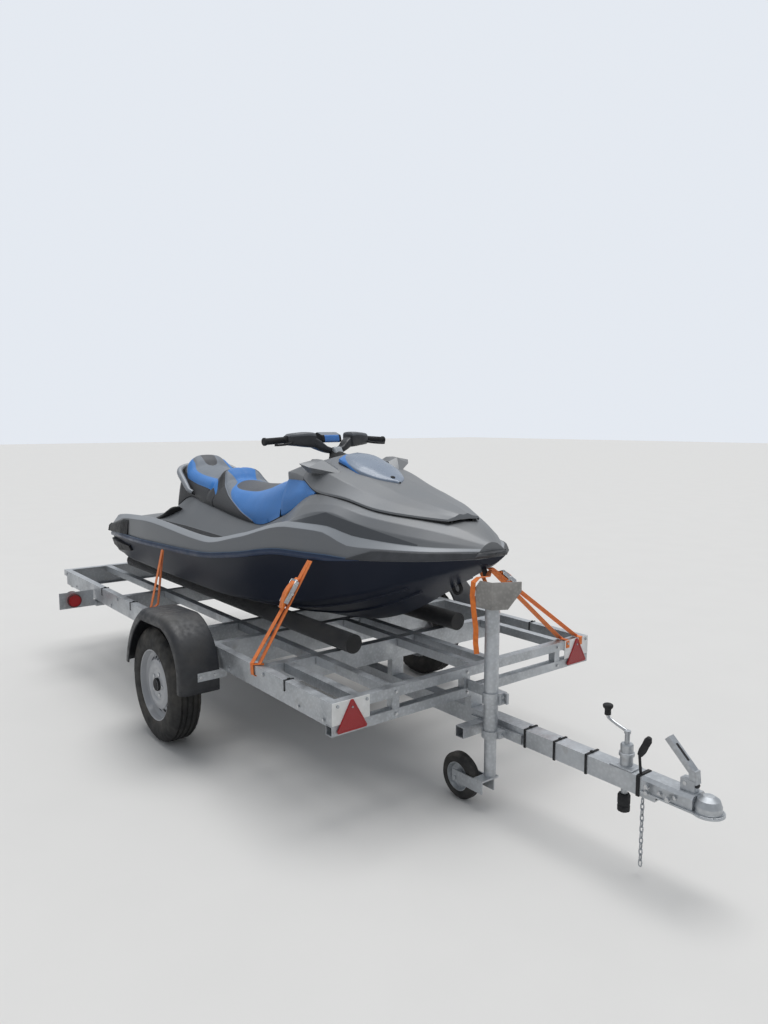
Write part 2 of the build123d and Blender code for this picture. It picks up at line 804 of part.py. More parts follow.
with BuildPart() as bow_eye:
    with BuildSketch(Plane.XZ.offset(-6)) as ring:
        with Locations((1010, 868)):
            Circle(30)
            Circle(18, mode=Mode.SUBTRACT)
    extrude(ring.sketch, amount=12)
    rod((975, 0, 872), (1004, 0, 885), 8)
    add(hull.part, mode=Mode.SUBTRACT)
    rod((1170, 0, 985), (1182, 0, 958), 11)
    block((1176, 1186), (-9, 9), (950, 972))
    add(hull.part, mode=Mode.SUBTRACT)
finish(bow_eye, "bow_eye")

# Trailer frame. Top tubes, the inset lower side members, cross channels and the open front end
SIDE_INNER = HALF_WIDTH - TUBE
TOP_MID = FRAME_TOP - TUBE / 2
LOW_MID = FRAME_BOTTOM + TUBE / 2
CROSS_X = (-1140, -150, 140, 596)

with BuildPart() as side_rails:
    for side in (-1, 1):
        y = side * (HALF_WIDTH - TUBE / 2)
        square_tube((REAR_X, y, TOP_MID), (FRONT_X, y, TOP_MID))
finish(side_rails, "side_rails")

with BuildPart() as lower_rails:
    for side in (-1, 1):
        y = side * (HALF_WIDTH - TUBE / 2)
        with BuildSketch(Plane.YZ.offset(REAR_X + 40)) as lower_profile:
            with Locations((y, FRAME_TOP - TUBE - 30)):
                Rectangle(TUBE - 12, 60)
                Rectangle(TUBE - 17, 55, mode=Mode.SUBTRACT)
        extrude(lower_profile.sketch, amount=FRONT_X - REAR_X - 80)
finish(lower_rails, "lower_rails")

with BuildPart() as cross_members:
    for x in CROSS_X:
        end = Plane(origin=(x, -SIDE_INNER, FRAME_TOP), x_dir=(-1, 0, 0), z_dir=(0, 1, 0))
        channel(end, 2 * SIDE_INNER, CHANNEL_DEPTH)
    channel(
        Plane(origin=(REAR_X, SIDE_INNER, FRAME_TOP), x_dir=(1, 0, 0), z_dir=(0, -1, 0)),
        2 * SIDE_INNER,
        REAR_DEPTH,
    )
finish(cross_members, "cross_members")

FRONT_MID = FRONT_X - TUBE / 2
POST_TUBE = 36
POSTS_Y = (-HALF_WIDTH + TUBE / 2, -456, -60, 540, HALF_WIDTH - TUBE / 2)
with BuildPart() as front_top_rail:
    square_tube((FRONT_MID, -SIDE_INNER, TOP_MID), (FRONT_MID, SIDE_INNER, TOP_MID))
finish(front_top_rail, "front_top_rail")

with BuildPart() as front_low_rail:
    square_tube((FRONT_MID, -HALF_WIDTH, LOW_MID), (FRONT_MID, HALF_WIDTH, LOW_MID))
finish(front_low_rail, "front_low_rail")

with BuildPart() as front_posts:
    for y in POSTS_Y:
        square_tube((FRONT_MID, y, FRAME_BOTTOM + TUBE), (FRONT_MID, y, FRAME_TOP - TUBE), size=POST_TUBE)
finish(front_posts, "front_posts")

# Longitudinal tubes, cut to length between the cross members
FRONT_INNER = FRONT_X - TUBE
BAYS = (
    # rear x, front x of the clear space between two cross members
    (REAR_X + CHANNEL_FLANGE + 3, CROSS_X[0] - CHANNEL_FLANGE - 3),
    (CROSS_X[0] + 3, CROSS_X[1] - CHANNEL_FLANGE - 3),
    (CROSS_X[1] + 3, CROSS_X[2] - CHANNEL_FLANGE - 3),
    (CROSS_X[2] + 3, CROSS_X[3] - CHANNEL_FLANGE - 3),
    (CROSS_X[3] + 3, FRONT_INNER),
)
LONGITUDINALS = (
    # first bay, y
    (4, -628),
    (0, -462),
    (3, 12),
    (3, 122),
    (4, 586),
)
with BuildPart() as longitudinals:
    for first, y in LONGITUDINALS:
        for rear_x, front_x in BAYS[first:]:
            square_tube((rear_x, y, TOP_MID), (front_x, y, TOP_MID))
finish(longitudinals, "longitudinals")

# Drawbar under the frame, with the spacers that hang it
with BuildPart() as drawbar:
    square_tube((DRAWBAR_REAR_X, 0, DRAWBAR_Z), (DRAWBAR_FRONT_X, 0, DRAWBAR_Z), size=DRAWBAR, wall=5)
finish(drawbar, "drawbar")

with BuildPart() as drawbar_hangers:
    block((FRONT_X - TUBE, FRONT_X), (-DRAWBAR / 2, DRAWBAR / 2), (DRAWBAR_TOP, FRAME_BOTTOM))
    block((556, 592), (-DRAWBAR / 2, DRAWBAR / 2), (DRAWBAR_TOP, FRAME_TOP - CHANNEL_DEPTH))
finish(drawbar_hangers, "drawbar_hangers")

# Coupling head: a pressed channel over the drawbar's end, with a domed socket for a 50 mm ball
BALL_R = 25
BALL_X = 2215
HEAD_REAR_X = 1990
HEAD_HALF = 41
HEAD_TOP = 372
HEAD_BOTTOM = 322

with BuildPart() as coupling_head:
    loft(
        [
            outline(
                Plane.YZ.offset(x),
                mirrored([(0, low), (half, low), (half, high - 12), (half - 12, high), (0, high)]),
            )
            for x, half, low, high in (
                (HEAD_REAR_X, HEAD_HALF, HEAD_BOTTOM, HEAD_TOP),
                (2130, HEAD_HALF, HEAD_BOTTOM, HEAD_TOP - 2),
                (2180, HEAD_HALF - 1, HEAD_BOTTOM, HEAD_TOP),
            )
        ],
        ruled=True,
    )
    with BuildSketch(Plane.XZ) as dome_half:
        with BuildLine():
            Polyline((0, 322), (44, 322), (44, 345), (36, 366), (18, 378), (0, 380), close=True)
        make_face()
    revolve(dome_half.sketch.moved(Location((BALL_X, 0, 0))), axis=Axis((BALL_X, 0, 0), (0, 0, 1)))
    with BuildSketch(Plane.XY.offset(316)) as flange:
        with Locations(((HEAD_REAR_X + BALL_X) / 2, 0)):
            Rectangle(BALL_X - HEAD_REAR_X, 94)
        with Locations((BALL_X, 0)):
            Circle(COUPLING_TIP_X - BALL_X)
    extrude(flange.sketch, amount=6)
    block((HEAD_REAR_X - 1, DRAWBAR_FRONT_X), (-35, 35), (300, DRAWBAR_TOP), mode=Mode.SUBTRACT)
    block((DRAWBAR_FRONT_X - 1, 2170), (-34, 34), (300, DRAWBAR_TOP), mode=Mode.SUBTRACT)
    rod((BALL_X, 0, 300), (BALL_X, 0, 340), BALL_R, mode=Mode.SUBTRACT)
    with Locations((BALL_X, 0, 340)):
        Sphere(BALL_R, mode=Mode.SUBTRACT)
finish(coupling_head, "coupling_head")

with BuildPart() as coupling_lever:
    block((2120, 2172), (-16, 16), (371, 412))
    flat_bar((2165, 0, 400), (2160, 0, 445), 30, 26)
    flat_bar((2166, 0, 432), (2063, 0, 530), 30, 20)
    add(coupling_head.part, mode=Mode.SUBTRACT)
finish(coupling_lever, "coupling_lever")

# Hand brake screw and its rubber foot on the drawbar, and the breakaway chain
STEADY_X = 1900
BAND_X = 1966
with BuildPart() as drawbar_screw:
    rod((STEADY_X, 0, DRAWBAR_TOP), (STEADY_X, 0, 451), 23)
    rod((STEADY_X, 0, 451), (STEADY_X, 0, 492), 9)
    rod((STEADY_X, 0, 484), (1812, 0, 522), 6)
    rod((1814, 0, 510), (1814, 0, 545), 13)
    rod((1814, 0, 545), (1814, 0, 574), 19)
    block((STEADY_X - 50, STEADY_X + 45), (-33, 33), (DRAWBAR_TOP, DRAWBAR_TOP + 6))
    rod((STEADY_X - 5, 0, 262), (STEADY_X - 5, 0, DRAWBAR_TOP - DRAWBAR), 12)
    rod((STEADY_X - 5, 0, 194), (STEADY_X - 5, 0, 262), 23)
    for side in (-1, 1):
        block((BAND_X, BAND_X + 14), sorted((side * 35, side * 39)), (290, 371))
    block((BAND_X, BAND_X + 14), (-39, 39), (DRAWBAR_TOP, 371))
    rod((BAND_X + 7, -20, 369), (BAND_X + 2, -24, 440), 5)
    rod((BAND_X + 2, -24, 436), (BAND_X + 36, -20, 512), 14)
finish(drawbar_screw, "drawbar_screw")

LINK_PITCH = 21
LINK_R = 7
WIRE_R = 3
LINKS = 12
CHAIN_TOP = 272
LINK_HALF = ((LINK_R, -11), (LINK_R, 11), (3, 16), (-3, 16))
with BuildPart() as chain:
    for i in range(LINKS):
        z = CHAIN_TOP - i * LINK_PITCH
        plane = Plane.XZ if i % 2 else Plane.YZ
        with BuildSketch(plane) as link:
            with BuildLine():
                Polyline(*LINK_HALF, *[(-y, -z) for y, z in LINK_HALF], close=True)
            make_face()
            Rectangle(2 * (LINK_R - 2 * WIRE_R + 1), LINK_PITCH - WIRE_R, mode=Mode.SUBTRACT)
        place = Location((1984, -20, z))
        extrude(link.sketch.moved(place), amount=WIRE_R, both=True)
    rod((1984, -20, CHAIN_TOP), (1984, -20, DRAWBAR_TOP - DRAWBAR), WIRE_R)
finish(chain, "chain")

# Bow post, folded winch bracket, clamps and the stub beside the drawbar
with BuildPart() as bow_post:
    rod((POST_X, POST_Y, POST_FOOT), (POST_X, POST_Y, POST_TOP), POST_R)
    rod((POST_X, POST_Y, POST_FOOT - 1), (POST_X, POST_Y, 700), LEG_R + 1, mode=Mode.SUBTRACT)
finish(bow_post, "bow_post")

BRACKET_T = 5
with BuildPart() as post_bracket:
    with BuildSketch(Plane.XY.offset(852)) as fold:
        with BuildLine():
            Polyline(
                (1262, -140),
                (1345, -132),
                (1403, -20),
                (1403 - BRACKET_T, -18),
                (1342, -127),
                (1262, -135),
                close=True,
            )
        make_face()
    extrude(fold.sketch, amount=112)
    taper = outline(Plane.YZ.offset(1350), [(-16, 852), (-70, 852), (-16, 930)])
    extrude(taper, amount=60, mode=Mode.SUBTRACT)
    corner = outline(Plane.XZ, [(1262, 964), (1262, 934), (1284, 964)])
    extrude(corner, amount=150, mode=Mode.SUBTRACT)
    block((1275, 1350), (-131, -50), (POST_TOP, POST_TOP + 5))
finish(post_bracket, "post_bracket")

with BuildPart() as post_clamps:
    for low, high in ((306, 336), (450, 498)):
        with BuildSketch(Plane.XY.offset(low)) as clamp:
            with Locations((POST_X, POST_Y)):
                Circle(POST_R + 7)
            with Locations((POST_X, POST_Y / 2 - 20)):
                Rectangle(90, 44)
            with Locations((POST_X, POST_Y)):
                Circle(POST_R, mode=Mode.SUBTRACT)
        extrude(clamp.sketch, amount=high - low)
    block((FRONT_X, POST_X + 60), (-60, -48), (452, 496))
    block((1150, 1440), (-47, -36), (302, 340))
    square_tube((1210, -170, 312), (1210, -47, 312), size=46)
finish(post_clamps, "post_clamps")

# Jockey leg: sliding tube with a cranked fork, and its wheel
with BuildPart() as jockey_leg:
    rod((POST_X, POST_Y, LEG_FOOT), (POST_X, POST_Y, 560), LEG_R)
    for y in (JOCKEY_Y - JOCKEY_W / 2 - 11, JOCKEY_Y + JOCKEY_W / 2 + 6):
        block((JOCKEY_X - 18, POST_X + 26), (y, y + 5), (82, 134))
    block((POST_X - 24, POST_X + 26), (JOCKEY_Y - 37, POST_Y + LEG_R), (LEG_FOOT, 138))
    rod((JOCKEY_X, JOCKEY_Y - 42, JOCKEY_HUB_Z), (JOCKEY_X, JOCKEY_Y + 42, JOCKEY_HUB_Z), JOCKEY_AXLE_R)
finish(jockey_leg, "jockey_leg")


def wheel_disc(profile, x, z):
    """Revolve an (across, radius) profile about the axle at x, z."""
    with BuildSketch(Plane.YZ.offset(x)) as half:
        with BuildLine():
            Polyline(*[(y, z + r) for y, r in profile], close=True)
        make_face()
    revolve(half.sketch, axis=Axis((x, 0, z), (0, 1, 0)))


with BuildPart() as jockey_tyre:
    wheel_disc(
        [
            (JOCKEY_Y + y, r)
            for y, r in ((-26, 62), (-26, 86), (-12, 100), (12, 100), (26, 86), (26, 62))
        ],
        JOCKEY_X,
        JOCKEY_HUB_Z,
    )
finish(jockey_tyre, "jockey_tyre")

with BuildPart() as jockey_rim:
    wheel_disc(
        [
            (JOCKEY_Y + y, r)
            for y, r in (
                (-29, 8.1),
                (-29, 22),
                (-8, 26),
                (-8, 50),
                (-24, 58),
                (-24, 62),
                (24, 62),
                (24, 58),
                (8, 50),
                (8, 26),
                (29, 22),
                (29, 8.1),
            )
        ],
        JOCKEY_X,
        JOCKEY_HUB_Z,
    )
finish(jockey_rim, "jockey_rim")

# Torsion axle: a tube across the frame with a trailing arm and spindle at each end
with BuildPart() as axle:
    square_tube((AXLE_TUBE_X, -ARM_Y, AXLE_TUBE_Z), (AXLE_TUBE_X, ARM_Y, AXLE_TUBE_Z), size=AXLE_TUBE, wall=5)
    for side in (-1, 1):
        y = side * ARM_Y
        block((AXLE_TUBE_X - 30, AXLE_TUBE_X + 30), (y - 14, y + 14), (AXLE_TUBE_Z + 30, 450))
        flat_bar((AXLE_TUBE_X + 24, y, AXLE_TUBE_Z - 4), (AXLE_X - 30, y, TYRE_R - 6), ARM_T, 54)
        rod((AXLE_X, y, TYRE_R), (AXLE_X, side * 905, TYRE_R), SPINDLE_R)
finish(axle, "axle")


def road_wheel(side, word):
    """One tyre and one vented steel rim with its hub."""
    with BuildPart() as tyre:
        wheel_disc(
            [
                (side * (WHEEL_Y + y), r)
                for y, r in (
                    (-62, RIM_R),
                    (-76, 205),
                    (-76, 240),
                    (-60, 281),
                    (-26, TYRE_R),
                    (26, TYRE_R),
                    (60, 281),
                    (76, 240),
                    (76, 205),
                    (62, RIM_R),
                )
            ],
            AXLE_X,
            TYRE_R,
        )
    finish(tyre, f"tyre_{word}")
    with BuildPart() as rim:
        wheel_disc(
            [
                (side * (WHEEL_Y + y), r)
                for y, r in (
                    (-62, RIM_R),
                    (-62, RIM_R - 4),
                    (-20, 150),
                    (12, 146),
                    (20, 120),
                    (38, 112),
                    (30, 78),
                    (24, 62),
                    (-30, 62),
                    (-30, HUB_BORE_R),
                    (44, HUB_BORE_R),
                    (44, 8),
                    (58, 8),
                    (58, 30),
                    (34, 34),
                    (34, 70),
                    (46, 112),
                    (44, 124),
                    (26, 150),
                    (40, 166),
                    (62, RIM_R - 4),
                    (62, RIM_R),
                )
            ],
            AXLE_X,
            TYRE_R,
        )
        with BuildSketch(Plane(origin=(AXLE_X, side * (WHEEL_Y + 60), TYRE_R), z_dir=(0, side, 0))) as vents:
            with PolarLocations(132, 14):
                Rectangle(13, 24)
        extrude(vents.sketch, amount=-62, mode=Mode.SUBTRACT)
    finish(rim, f"rim_{word}")


for side, word in ((1, "left"), (-1, "right")):
    road_wheel(side, word)

# Fenders: an arch with rounded shoulders and a lip round its outer edge, on strip brackets
ARCH = (
    # corners, and the middles of the two rounded stretches
    (-345, 352),
    (-270, 532),
    (-110, 668),
    (150, 678),
    (318, 588),
    (380, 430),
    (378, 352),
)


def inset(points, depth):
    """Move an arch's points towards the wheel centre; its two feet stay at their height."""
    share = 1 - depth / 380
    return [(x * share, z if z == points[0][1] else TYRE_R + (z - TYRE_R) * share) for x, z in points]


def arch_sketch(plane, depth):
    """Closed arch profile of a given depth in the side view."""
    outer = [(FENDER_X + x, z) for x, z in ARCH]
    inner = [(FENDER_X + x, z) for x, z in inset(ARCH, depth)]
    with BuildSketch(plane) as profile:
        with BuildLine():
            for line in (outer, inner):
                ThreePointArc(*line[:3])
                Line(line[2], line[3])
                ThreePointArc(*line[3:6])
                Line(line[5], line[6])
            Line(outer[0], inner[0])
            Line(outer[6], inner[6])
        make_face()
    return profile.sketch


for side, word in ((1, "left"), (-1, "right")):
    with BuildPart() as fender:
        side_plane = Plane(origin=(0, side * FENDER_INNER_Y, 0), x_dir=(1, 0, 0), z_dir=(0, -1, 0))
        width = -side * (FENDER_OUTER_Y - FENDER_INNER_Y)
        extrude(arch_sketch(side_plane, FENDER_SKIN), amount=width)
        lip_y = side * (FENDER_OUTER_Y - FENDER_SKIN)
        lip_plane = Plane(origin=(0, lip_y, 0), x_dir=(1, 0, 0), z_dir=(0, -1, 0))
        extrude(arch_sketch(lip_plane, FENDER_LIP), amount=-side * FENDER_SKIN)
    finish(fender, f"fender_{word}")

with BuildPart() as fender_brackets:
    for side in (-1, 1):
        for x in (FENDER_X + 381, FENDER_X - 337):
            block((x, x + 5), sorted((side * 740, side * 885)), (410, 450))
        for x in (-180, -60):
            block((x - 15, x + 15), sorted((side * HALF_WIDTH, side * FENDER_INNER_Y)), (520, 545))
finish(fender_brackets, "fender_brackets")

# Bunks: padded tubes under the hull, cut flat where the hull sits on them
with BuildPart() as bunks:
    for side in (-1, 1):
        rod((BUNK_REAR_X, side * BUNK_Y, BUNK_Z), (BUNK_FRONT_X, side * BUNK_Y, BUNK_Z), BUNK_R)
    add(hull.part, mode=Mode.SUBTRACT)
finish(bunks, "bunks")

# Rear lamp boards on stub arms outside the rails, round lamps, and triangular front reflectors
LAMP_X = -1620
with BuildPart() as lamp_boards:
    for side in (-1, 1):
        block((LAMP_X - 2, LAMP_X + 2), sorted((side * 740, side * 985)), (410, 449))
        block((LAMP_X - 2, LAMP_X + 2), sorted((side * (HALF_WIDTH + 3), side * 985)), (449, 515))
        rod((LAMP_X + 20, side * 620, 425), (LAMP_X + 20, side * 764, 425), 18)
finish(lamp_boards, "lamp_boards")

with BuildPart() as lamps:
    for side in (-1, 1):
        rod((LAMP_X - 45, side * 897, 462), (LAMP_X - 2, side * 897, 462), 50)
        rod((LAMP_X + 2, side * 897, 462), (LAMP_X + 30, side * 897, 462), 42)
finish(lamps, "lamps")

REFLECTOR_SIDE = 150
with BuildPart() as reflectors:
    for side in (-1, 1):
        block((FRONT_X, FRONT_X + 3), sorted((side * 590, side * HALF_WIDTH)), (462, 552))
        y = side * 677
        triangle = [(y - REFLECTOR_SIDE / 2, 429), (y + REFLECTOR_SIDE / 2, 429), (y, 559)]
        extrude(outline(Plane.YZ.offset(FRONT_X + 3), triangle), amount=7)
finish(reflectors, "reflectors")

# Lashing straps, taut between the craft and the frame, with ratchets
STRAP_W = 25
STRAP_T = 3
STRAPS = (
    # start, end
    ((560, -492, 980), (532, -774, 553)),
    ((572, -490, 980), (556, -748, 554)),
    ((560, 492, 980), (532, 774, 553)),
    ((572, 490, 980), (556, 748, 554)),
    ((-782, -632, 868), (-768, -712, 554)),
    ((-782, -630, 868), (-790, -664, 554)),
    ((-782, 632, 868), (-768, 712, 554)),
    ((-782, 630, 868), (-790, 664, 554)),
    ((1188, 22, 980), (1100, 604, 554)),
    ((1192, 22, 980), (1118, 700, 554)),
)
RATCHETS = (
    # strap, share of its length where the ratchet's middle lies
    (0, 0.36),
    (2, 0.36),
    (8, 0.14),
)
with BuildPart() as straps:
    for start, end in STRAPS:
        flat_bar(start, end, STRAP_W, STRAP_T)
    for strap, share in RATCHETS:
        start, end = STRAPS[strap]
        flat_bar(lerp(start, end, share - 0.1), lerp(start, end, share + 0.1), STRAP_W + 14, 22)
finish(straps, "straps")
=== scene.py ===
"""Looks of a personal watercraft on its road trailer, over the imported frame.

Metres, +X towards the coupling, +Y to port, +Z up, the floor at zero. Section tables are in millimetres.
"""

import json
import math
from collections import namedtuple

import bmesh
import bpy
from mathutils import Matrix, Vector


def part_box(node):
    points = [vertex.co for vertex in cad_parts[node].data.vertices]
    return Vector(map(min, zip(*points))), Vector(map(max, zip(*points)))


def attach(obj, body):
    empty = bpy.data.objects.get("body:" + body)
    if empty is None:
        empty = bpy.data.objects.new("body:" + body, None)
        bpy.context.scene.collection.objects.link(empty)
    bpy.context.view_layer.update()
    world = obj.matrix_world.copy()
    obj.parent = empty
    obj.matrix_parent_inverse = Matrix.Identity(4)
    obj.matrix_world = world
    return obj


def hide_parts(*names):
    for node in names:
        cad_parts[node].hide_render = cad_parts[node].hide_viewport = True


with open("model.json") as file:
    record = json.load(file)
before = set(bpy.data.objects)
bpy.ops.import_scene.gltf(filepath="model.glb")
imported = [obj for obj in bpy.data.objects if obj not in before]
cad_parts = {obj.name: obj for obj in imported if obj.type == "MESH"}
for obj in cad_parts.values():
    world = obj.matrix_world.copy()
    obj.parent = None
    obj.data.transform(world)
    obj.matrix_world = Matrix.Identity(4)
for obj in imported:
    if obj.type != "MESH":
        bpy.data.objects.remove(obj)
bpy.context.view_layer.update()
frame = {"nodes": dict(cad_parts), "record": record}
nodes = frame["nodes"]

# Camera: solved from the photograph, 768 by 1024 pixels
CAMERA_AT = Vector((3.450, -2.333, 1.597))
CAMERA_AZIMUTH = math.radians(51.83)
CAMERA_PITCH = math.radians(6.583)
FOCAL_PIXELS = 769.9
PHOTO_HEIGHT = 1024
SENSOR = 36.0

SIDES = ((1, "left"), (-1, "right"))
UP = (0, 0, 1)


def make_camera():
    """The photograph's viewpoint."""
    data = bpy.data.cameras.new("camera")
    data.sensor_width = SENSOR
    data.lens = FOCAL_PIXELS / PHOTO_HEIGHT * SENSOR
    data.clip_end = 200
    camera = bpy.data.objects.new("camera", data)
    camera.location = CAMERA_AT
    level = math.cos(CAMERA_PITCH)
    forward = (-math.sin(CAMERA_AZIMUTH) * level, math.cos(CAMERA_AZIMUTH) * level, -math.sin(CAMERA_PITCH))
    camera.rotation_euler = Vector(forward).to_track_quat("-Z", "Y").to_euler()
    bpy.context.collection.objects.link(camera)
    bpy.context.scene.camera = camera


# Materials: a small shorthand for procedural node trees
DUST_COLOR = (0.30, 0.27, 0.23)


def add_node(tree, kind, output, inputs, **settings):
    """One output of a new node, whose inputs are values or other nodes' outputs."""
    made = tree.nodes.new("ShaderNode" + kind)
    for key, value in settings.items():
        setattr(made, key, value)
    for socket, value in inputs.items():
        if isinstance(value, bpy.types.NodeSocket):
            tree.links.new(value, made.inputs[socket])
        else:
            made.inputs[socket].default_value = value
    return made.outputs[output]


def shade(color, factor, lift=0.0):
    """A lighter or darker tone of a colour."""
    return tuple(min(factor * c + lift, 1) for c in color)


class Look:
    """One procedural material, built up layer by layer on a Principled shader."""

    def __init__(self, name, color, roughness=0.5, metallic=0.0, **sockets):
        self.material = bpy.data.materials.new(name)
        self.material.use_nodes = True
        self.tree = self.material.node_tree
        self.shader = self.tree.nodes["Principled BSDF"]
        sockets.update(Base_Color=(*color, 1), Roughness=roughness, Metallic=metallic)
        for socket, value in sockets.items():
            self.shader.inputs[socket.replace("_", " ")].default_value = value
        self.place = self.node("TexCoord", "Object", {})
        self.height = None

    def node(self, kind, output, inputs, **settings):
        return add_node(self.tree, kind, output, inputs, **settings)

    def calculate(self, operation, *values):
        return self.node("Math", 0, dict(enumerate(values)), operation=operation)

    def component(self, vector, axis):
        return self.node("SeparateXYZ", axis, {0: vector})

    def noise(self, scale, detail=3.0):
        """A noise value, its scale in cycles per metre."""
        return self.node("TexNoise", "Fac", {"Vector": self.place, "Scale": scale, "Detail": detail})

    def cells(self, scale, stretch=(1, 1, 1)):
        """A distance from the middle of Voronoi cells."""
        place = self.node("Mapping", "Vector", {"Vector": self.place, "Scale": stretch})
        return self.node("TexVoronoi", "Distance", {"Vector": place, "Scale": scale})

    def ramp(self, value, low, high, start=0.0, end=1.0):
        """The value spread from low..high to start..end, held at both ends."""
        spans = {"Value": value, "From Min": low, "From Max": high, "To Min": start, "To Max": end}
        return self.node("MapRange", "Result", spans)

    def tint(self, value, other):
        """Mix the colour so far with another, by value."""
        socket = self.shader.inputs["Base Color"]
        so_far = socket.links[0].from_socket if socket.is_linked else socket.default_value
        mixed = self.node("Mix", 2, {0: value, 6: so_far, 7: (*other, 1)}, data_type="RGBA")
        self.tree.links.new(mixed, socket)
        return self

    def mottle(self, scale, other, low=0.4, high=0.7, amount=1.0, detail=3.0):
        """Cloudy patches of another colour."""
        return self.tint(self.ramp(self.noise(scale, detail), low, high, 0, amount), other)

    def vary_roughness(self, scale, low, high, detail=3.0):
        varied = self.ramp(self.noise(scale, detail), 0.3, 0.7, low, high)
        self.tree.links.new(varied, self.shader.inputs["Roughness"])
        return self

    def bump(self, value, distance, strength=1.0):
        """Add a height, in metres, to the surface's bumps."""
        inputs = {"Strength": strength, "Distance": distance, "Height": value}
        if self.height:
            inputs["Normal"] = self.height
        self.height = self.node("Bump", "Normal", inputs)
        self.tree.links.new(self.height, self.shader.inputs["Normal"])
        return self

    def wedge(self, lines, other):
        """Another colour where X and Z lie below every line (x, z) to (x, z), each line drawn towards the bow."""
        x, z = (self.component(self.place, axis) for axis in "XZ")
        inside = None
        for (ax, az), (bx, bz) in lines:
            slope = (bz - az) / (bx - ax)
            line = self.calculate("MULTIPLY_ADD", x, slope, az - slope * ax)
            step = self.ramp(self.calculate("SUBTRACT", line, z), -0.0015, 0.0015)
            inside = self.calculate("MULTIPLY", inside, step) if inside else step
        return self.tint(inside, other)

    def dust(self, amount, scale):
        """Road dust that lies in cloudy patches, thicker on what faces up."""
        level = self.ramp(self.component(self.node("NewGeometry", "Normal", {}), "Z"), -0.2, 1.0, 0.15, 1.0)
        cloud = self.ramp(self.noise(scale, 5), 0.35, 0.75, 0, amount)
        return self.tint(self.calculate("MULTIPLY", level, cloud), DUST_COLOR)


def gelcoat(name, color, roughness, metallic=0.35):
    """Sprayed satin gelcoat with fine metal flake, faint orange peel and dust."""
    look = Look(name, color, roughness, metallic, Coat_Weight=0.25, Coat_Roughness=0.35)
    look.mottle(2600, shade(color, 1.35), 0.55, 0.75, 0.5, 1)
    look.mottle(3, shade(color, 0.9), 0.3, 0.7, 0.6)
    look.bump(look.noise(260, 2), 0.0004, 0.12)
    return look.dust(0.16, 5)


def vinyl(name, color):
    """Marine seat vinyl with a pebbled grain."""
    look = Look(name, color, 0.52, Sheen_Weight=0.15, Sheen_Roughness=0.45)
    look.bump(look.cells(520), 0.0006, 0.5)
    look.bump(look.noise(30, 4), 0.002, 0.2)
    return look.mottle(12, shade(color, 0.86), 0.35, 0.7, 0.5)


def plastic(name, color, roughness=0.6, grain=700):
    """Moulded plastic or rubber with a fine grain."""
    look = Look(name, color, roughness)
    look.bump(look.cells(grain), 0.0004, 0.35)
    look.mottle(18, shade(color, 1.5, 0.01), 0.4, 0.8, 0.6, 4)
    return look.vary_roughness(40, roughness - 0.1, min(roughness + 0.15, 1))


def zinc(name, color):
    """Hot-dip galvanising: spangle, dull runs and a chalky bloom."""
    look = Look(name, color, 0.45, 0.75)
    look.tint(look.ramp(look.cells(70), 0.1, 0.6, 0, 0.55), shade(color, 0.66))
    look.mottle(5, shade(color, 1.25), 0.4, 0.7, 0.6, 5)
    look.mottle(22, (0.30, 0.29, 0.27), 0.62, 0.8, 0.5, 5)
    look.vary_roughness(14, 0.32, 0.62, 5)
    look.bump(look.cells(70), 0.0005, 0.25)
    return look.bump(look.noise(25, 4), 0.001, 0.15)


def paint(name, color, roughness=0.35, coat=0.5):
    """Plain sprayed paint over metal or plastic, scuffed a little."""
    look = Look(name, color, roughness, Coat_Weight=coat, Coat_Roughness=0.12)
    look.mottle(8, shade(color, 0.85), 0.35, 0.7, 0.5, 4)
    look.bump(look.noise(300, 2), 0.0003, 0.1)
    return look.vary_roughness(12, roughness * 0.8, roughness * 1.4, 5)


def metal(name, color, roughness, scale, low, high):
    """Bare metal."""
    return Look(name, color, roughness, 1.0).vary_roughness(scale, low, high)


# Upper edges of the painted shade on the facet of the bow's flanks, and of the screen's flash: x and z
FACET_SHADE_LINES = (((0.352, 1.136), (0.560, 1.196)), ((0.560, 1.196), (1.010, 1.086)))
FLASH_LINES = (((0.262, 1.441), (0.478, 1.337)),)
DECK_COLOR = (0.178, 0.186, 0.196)


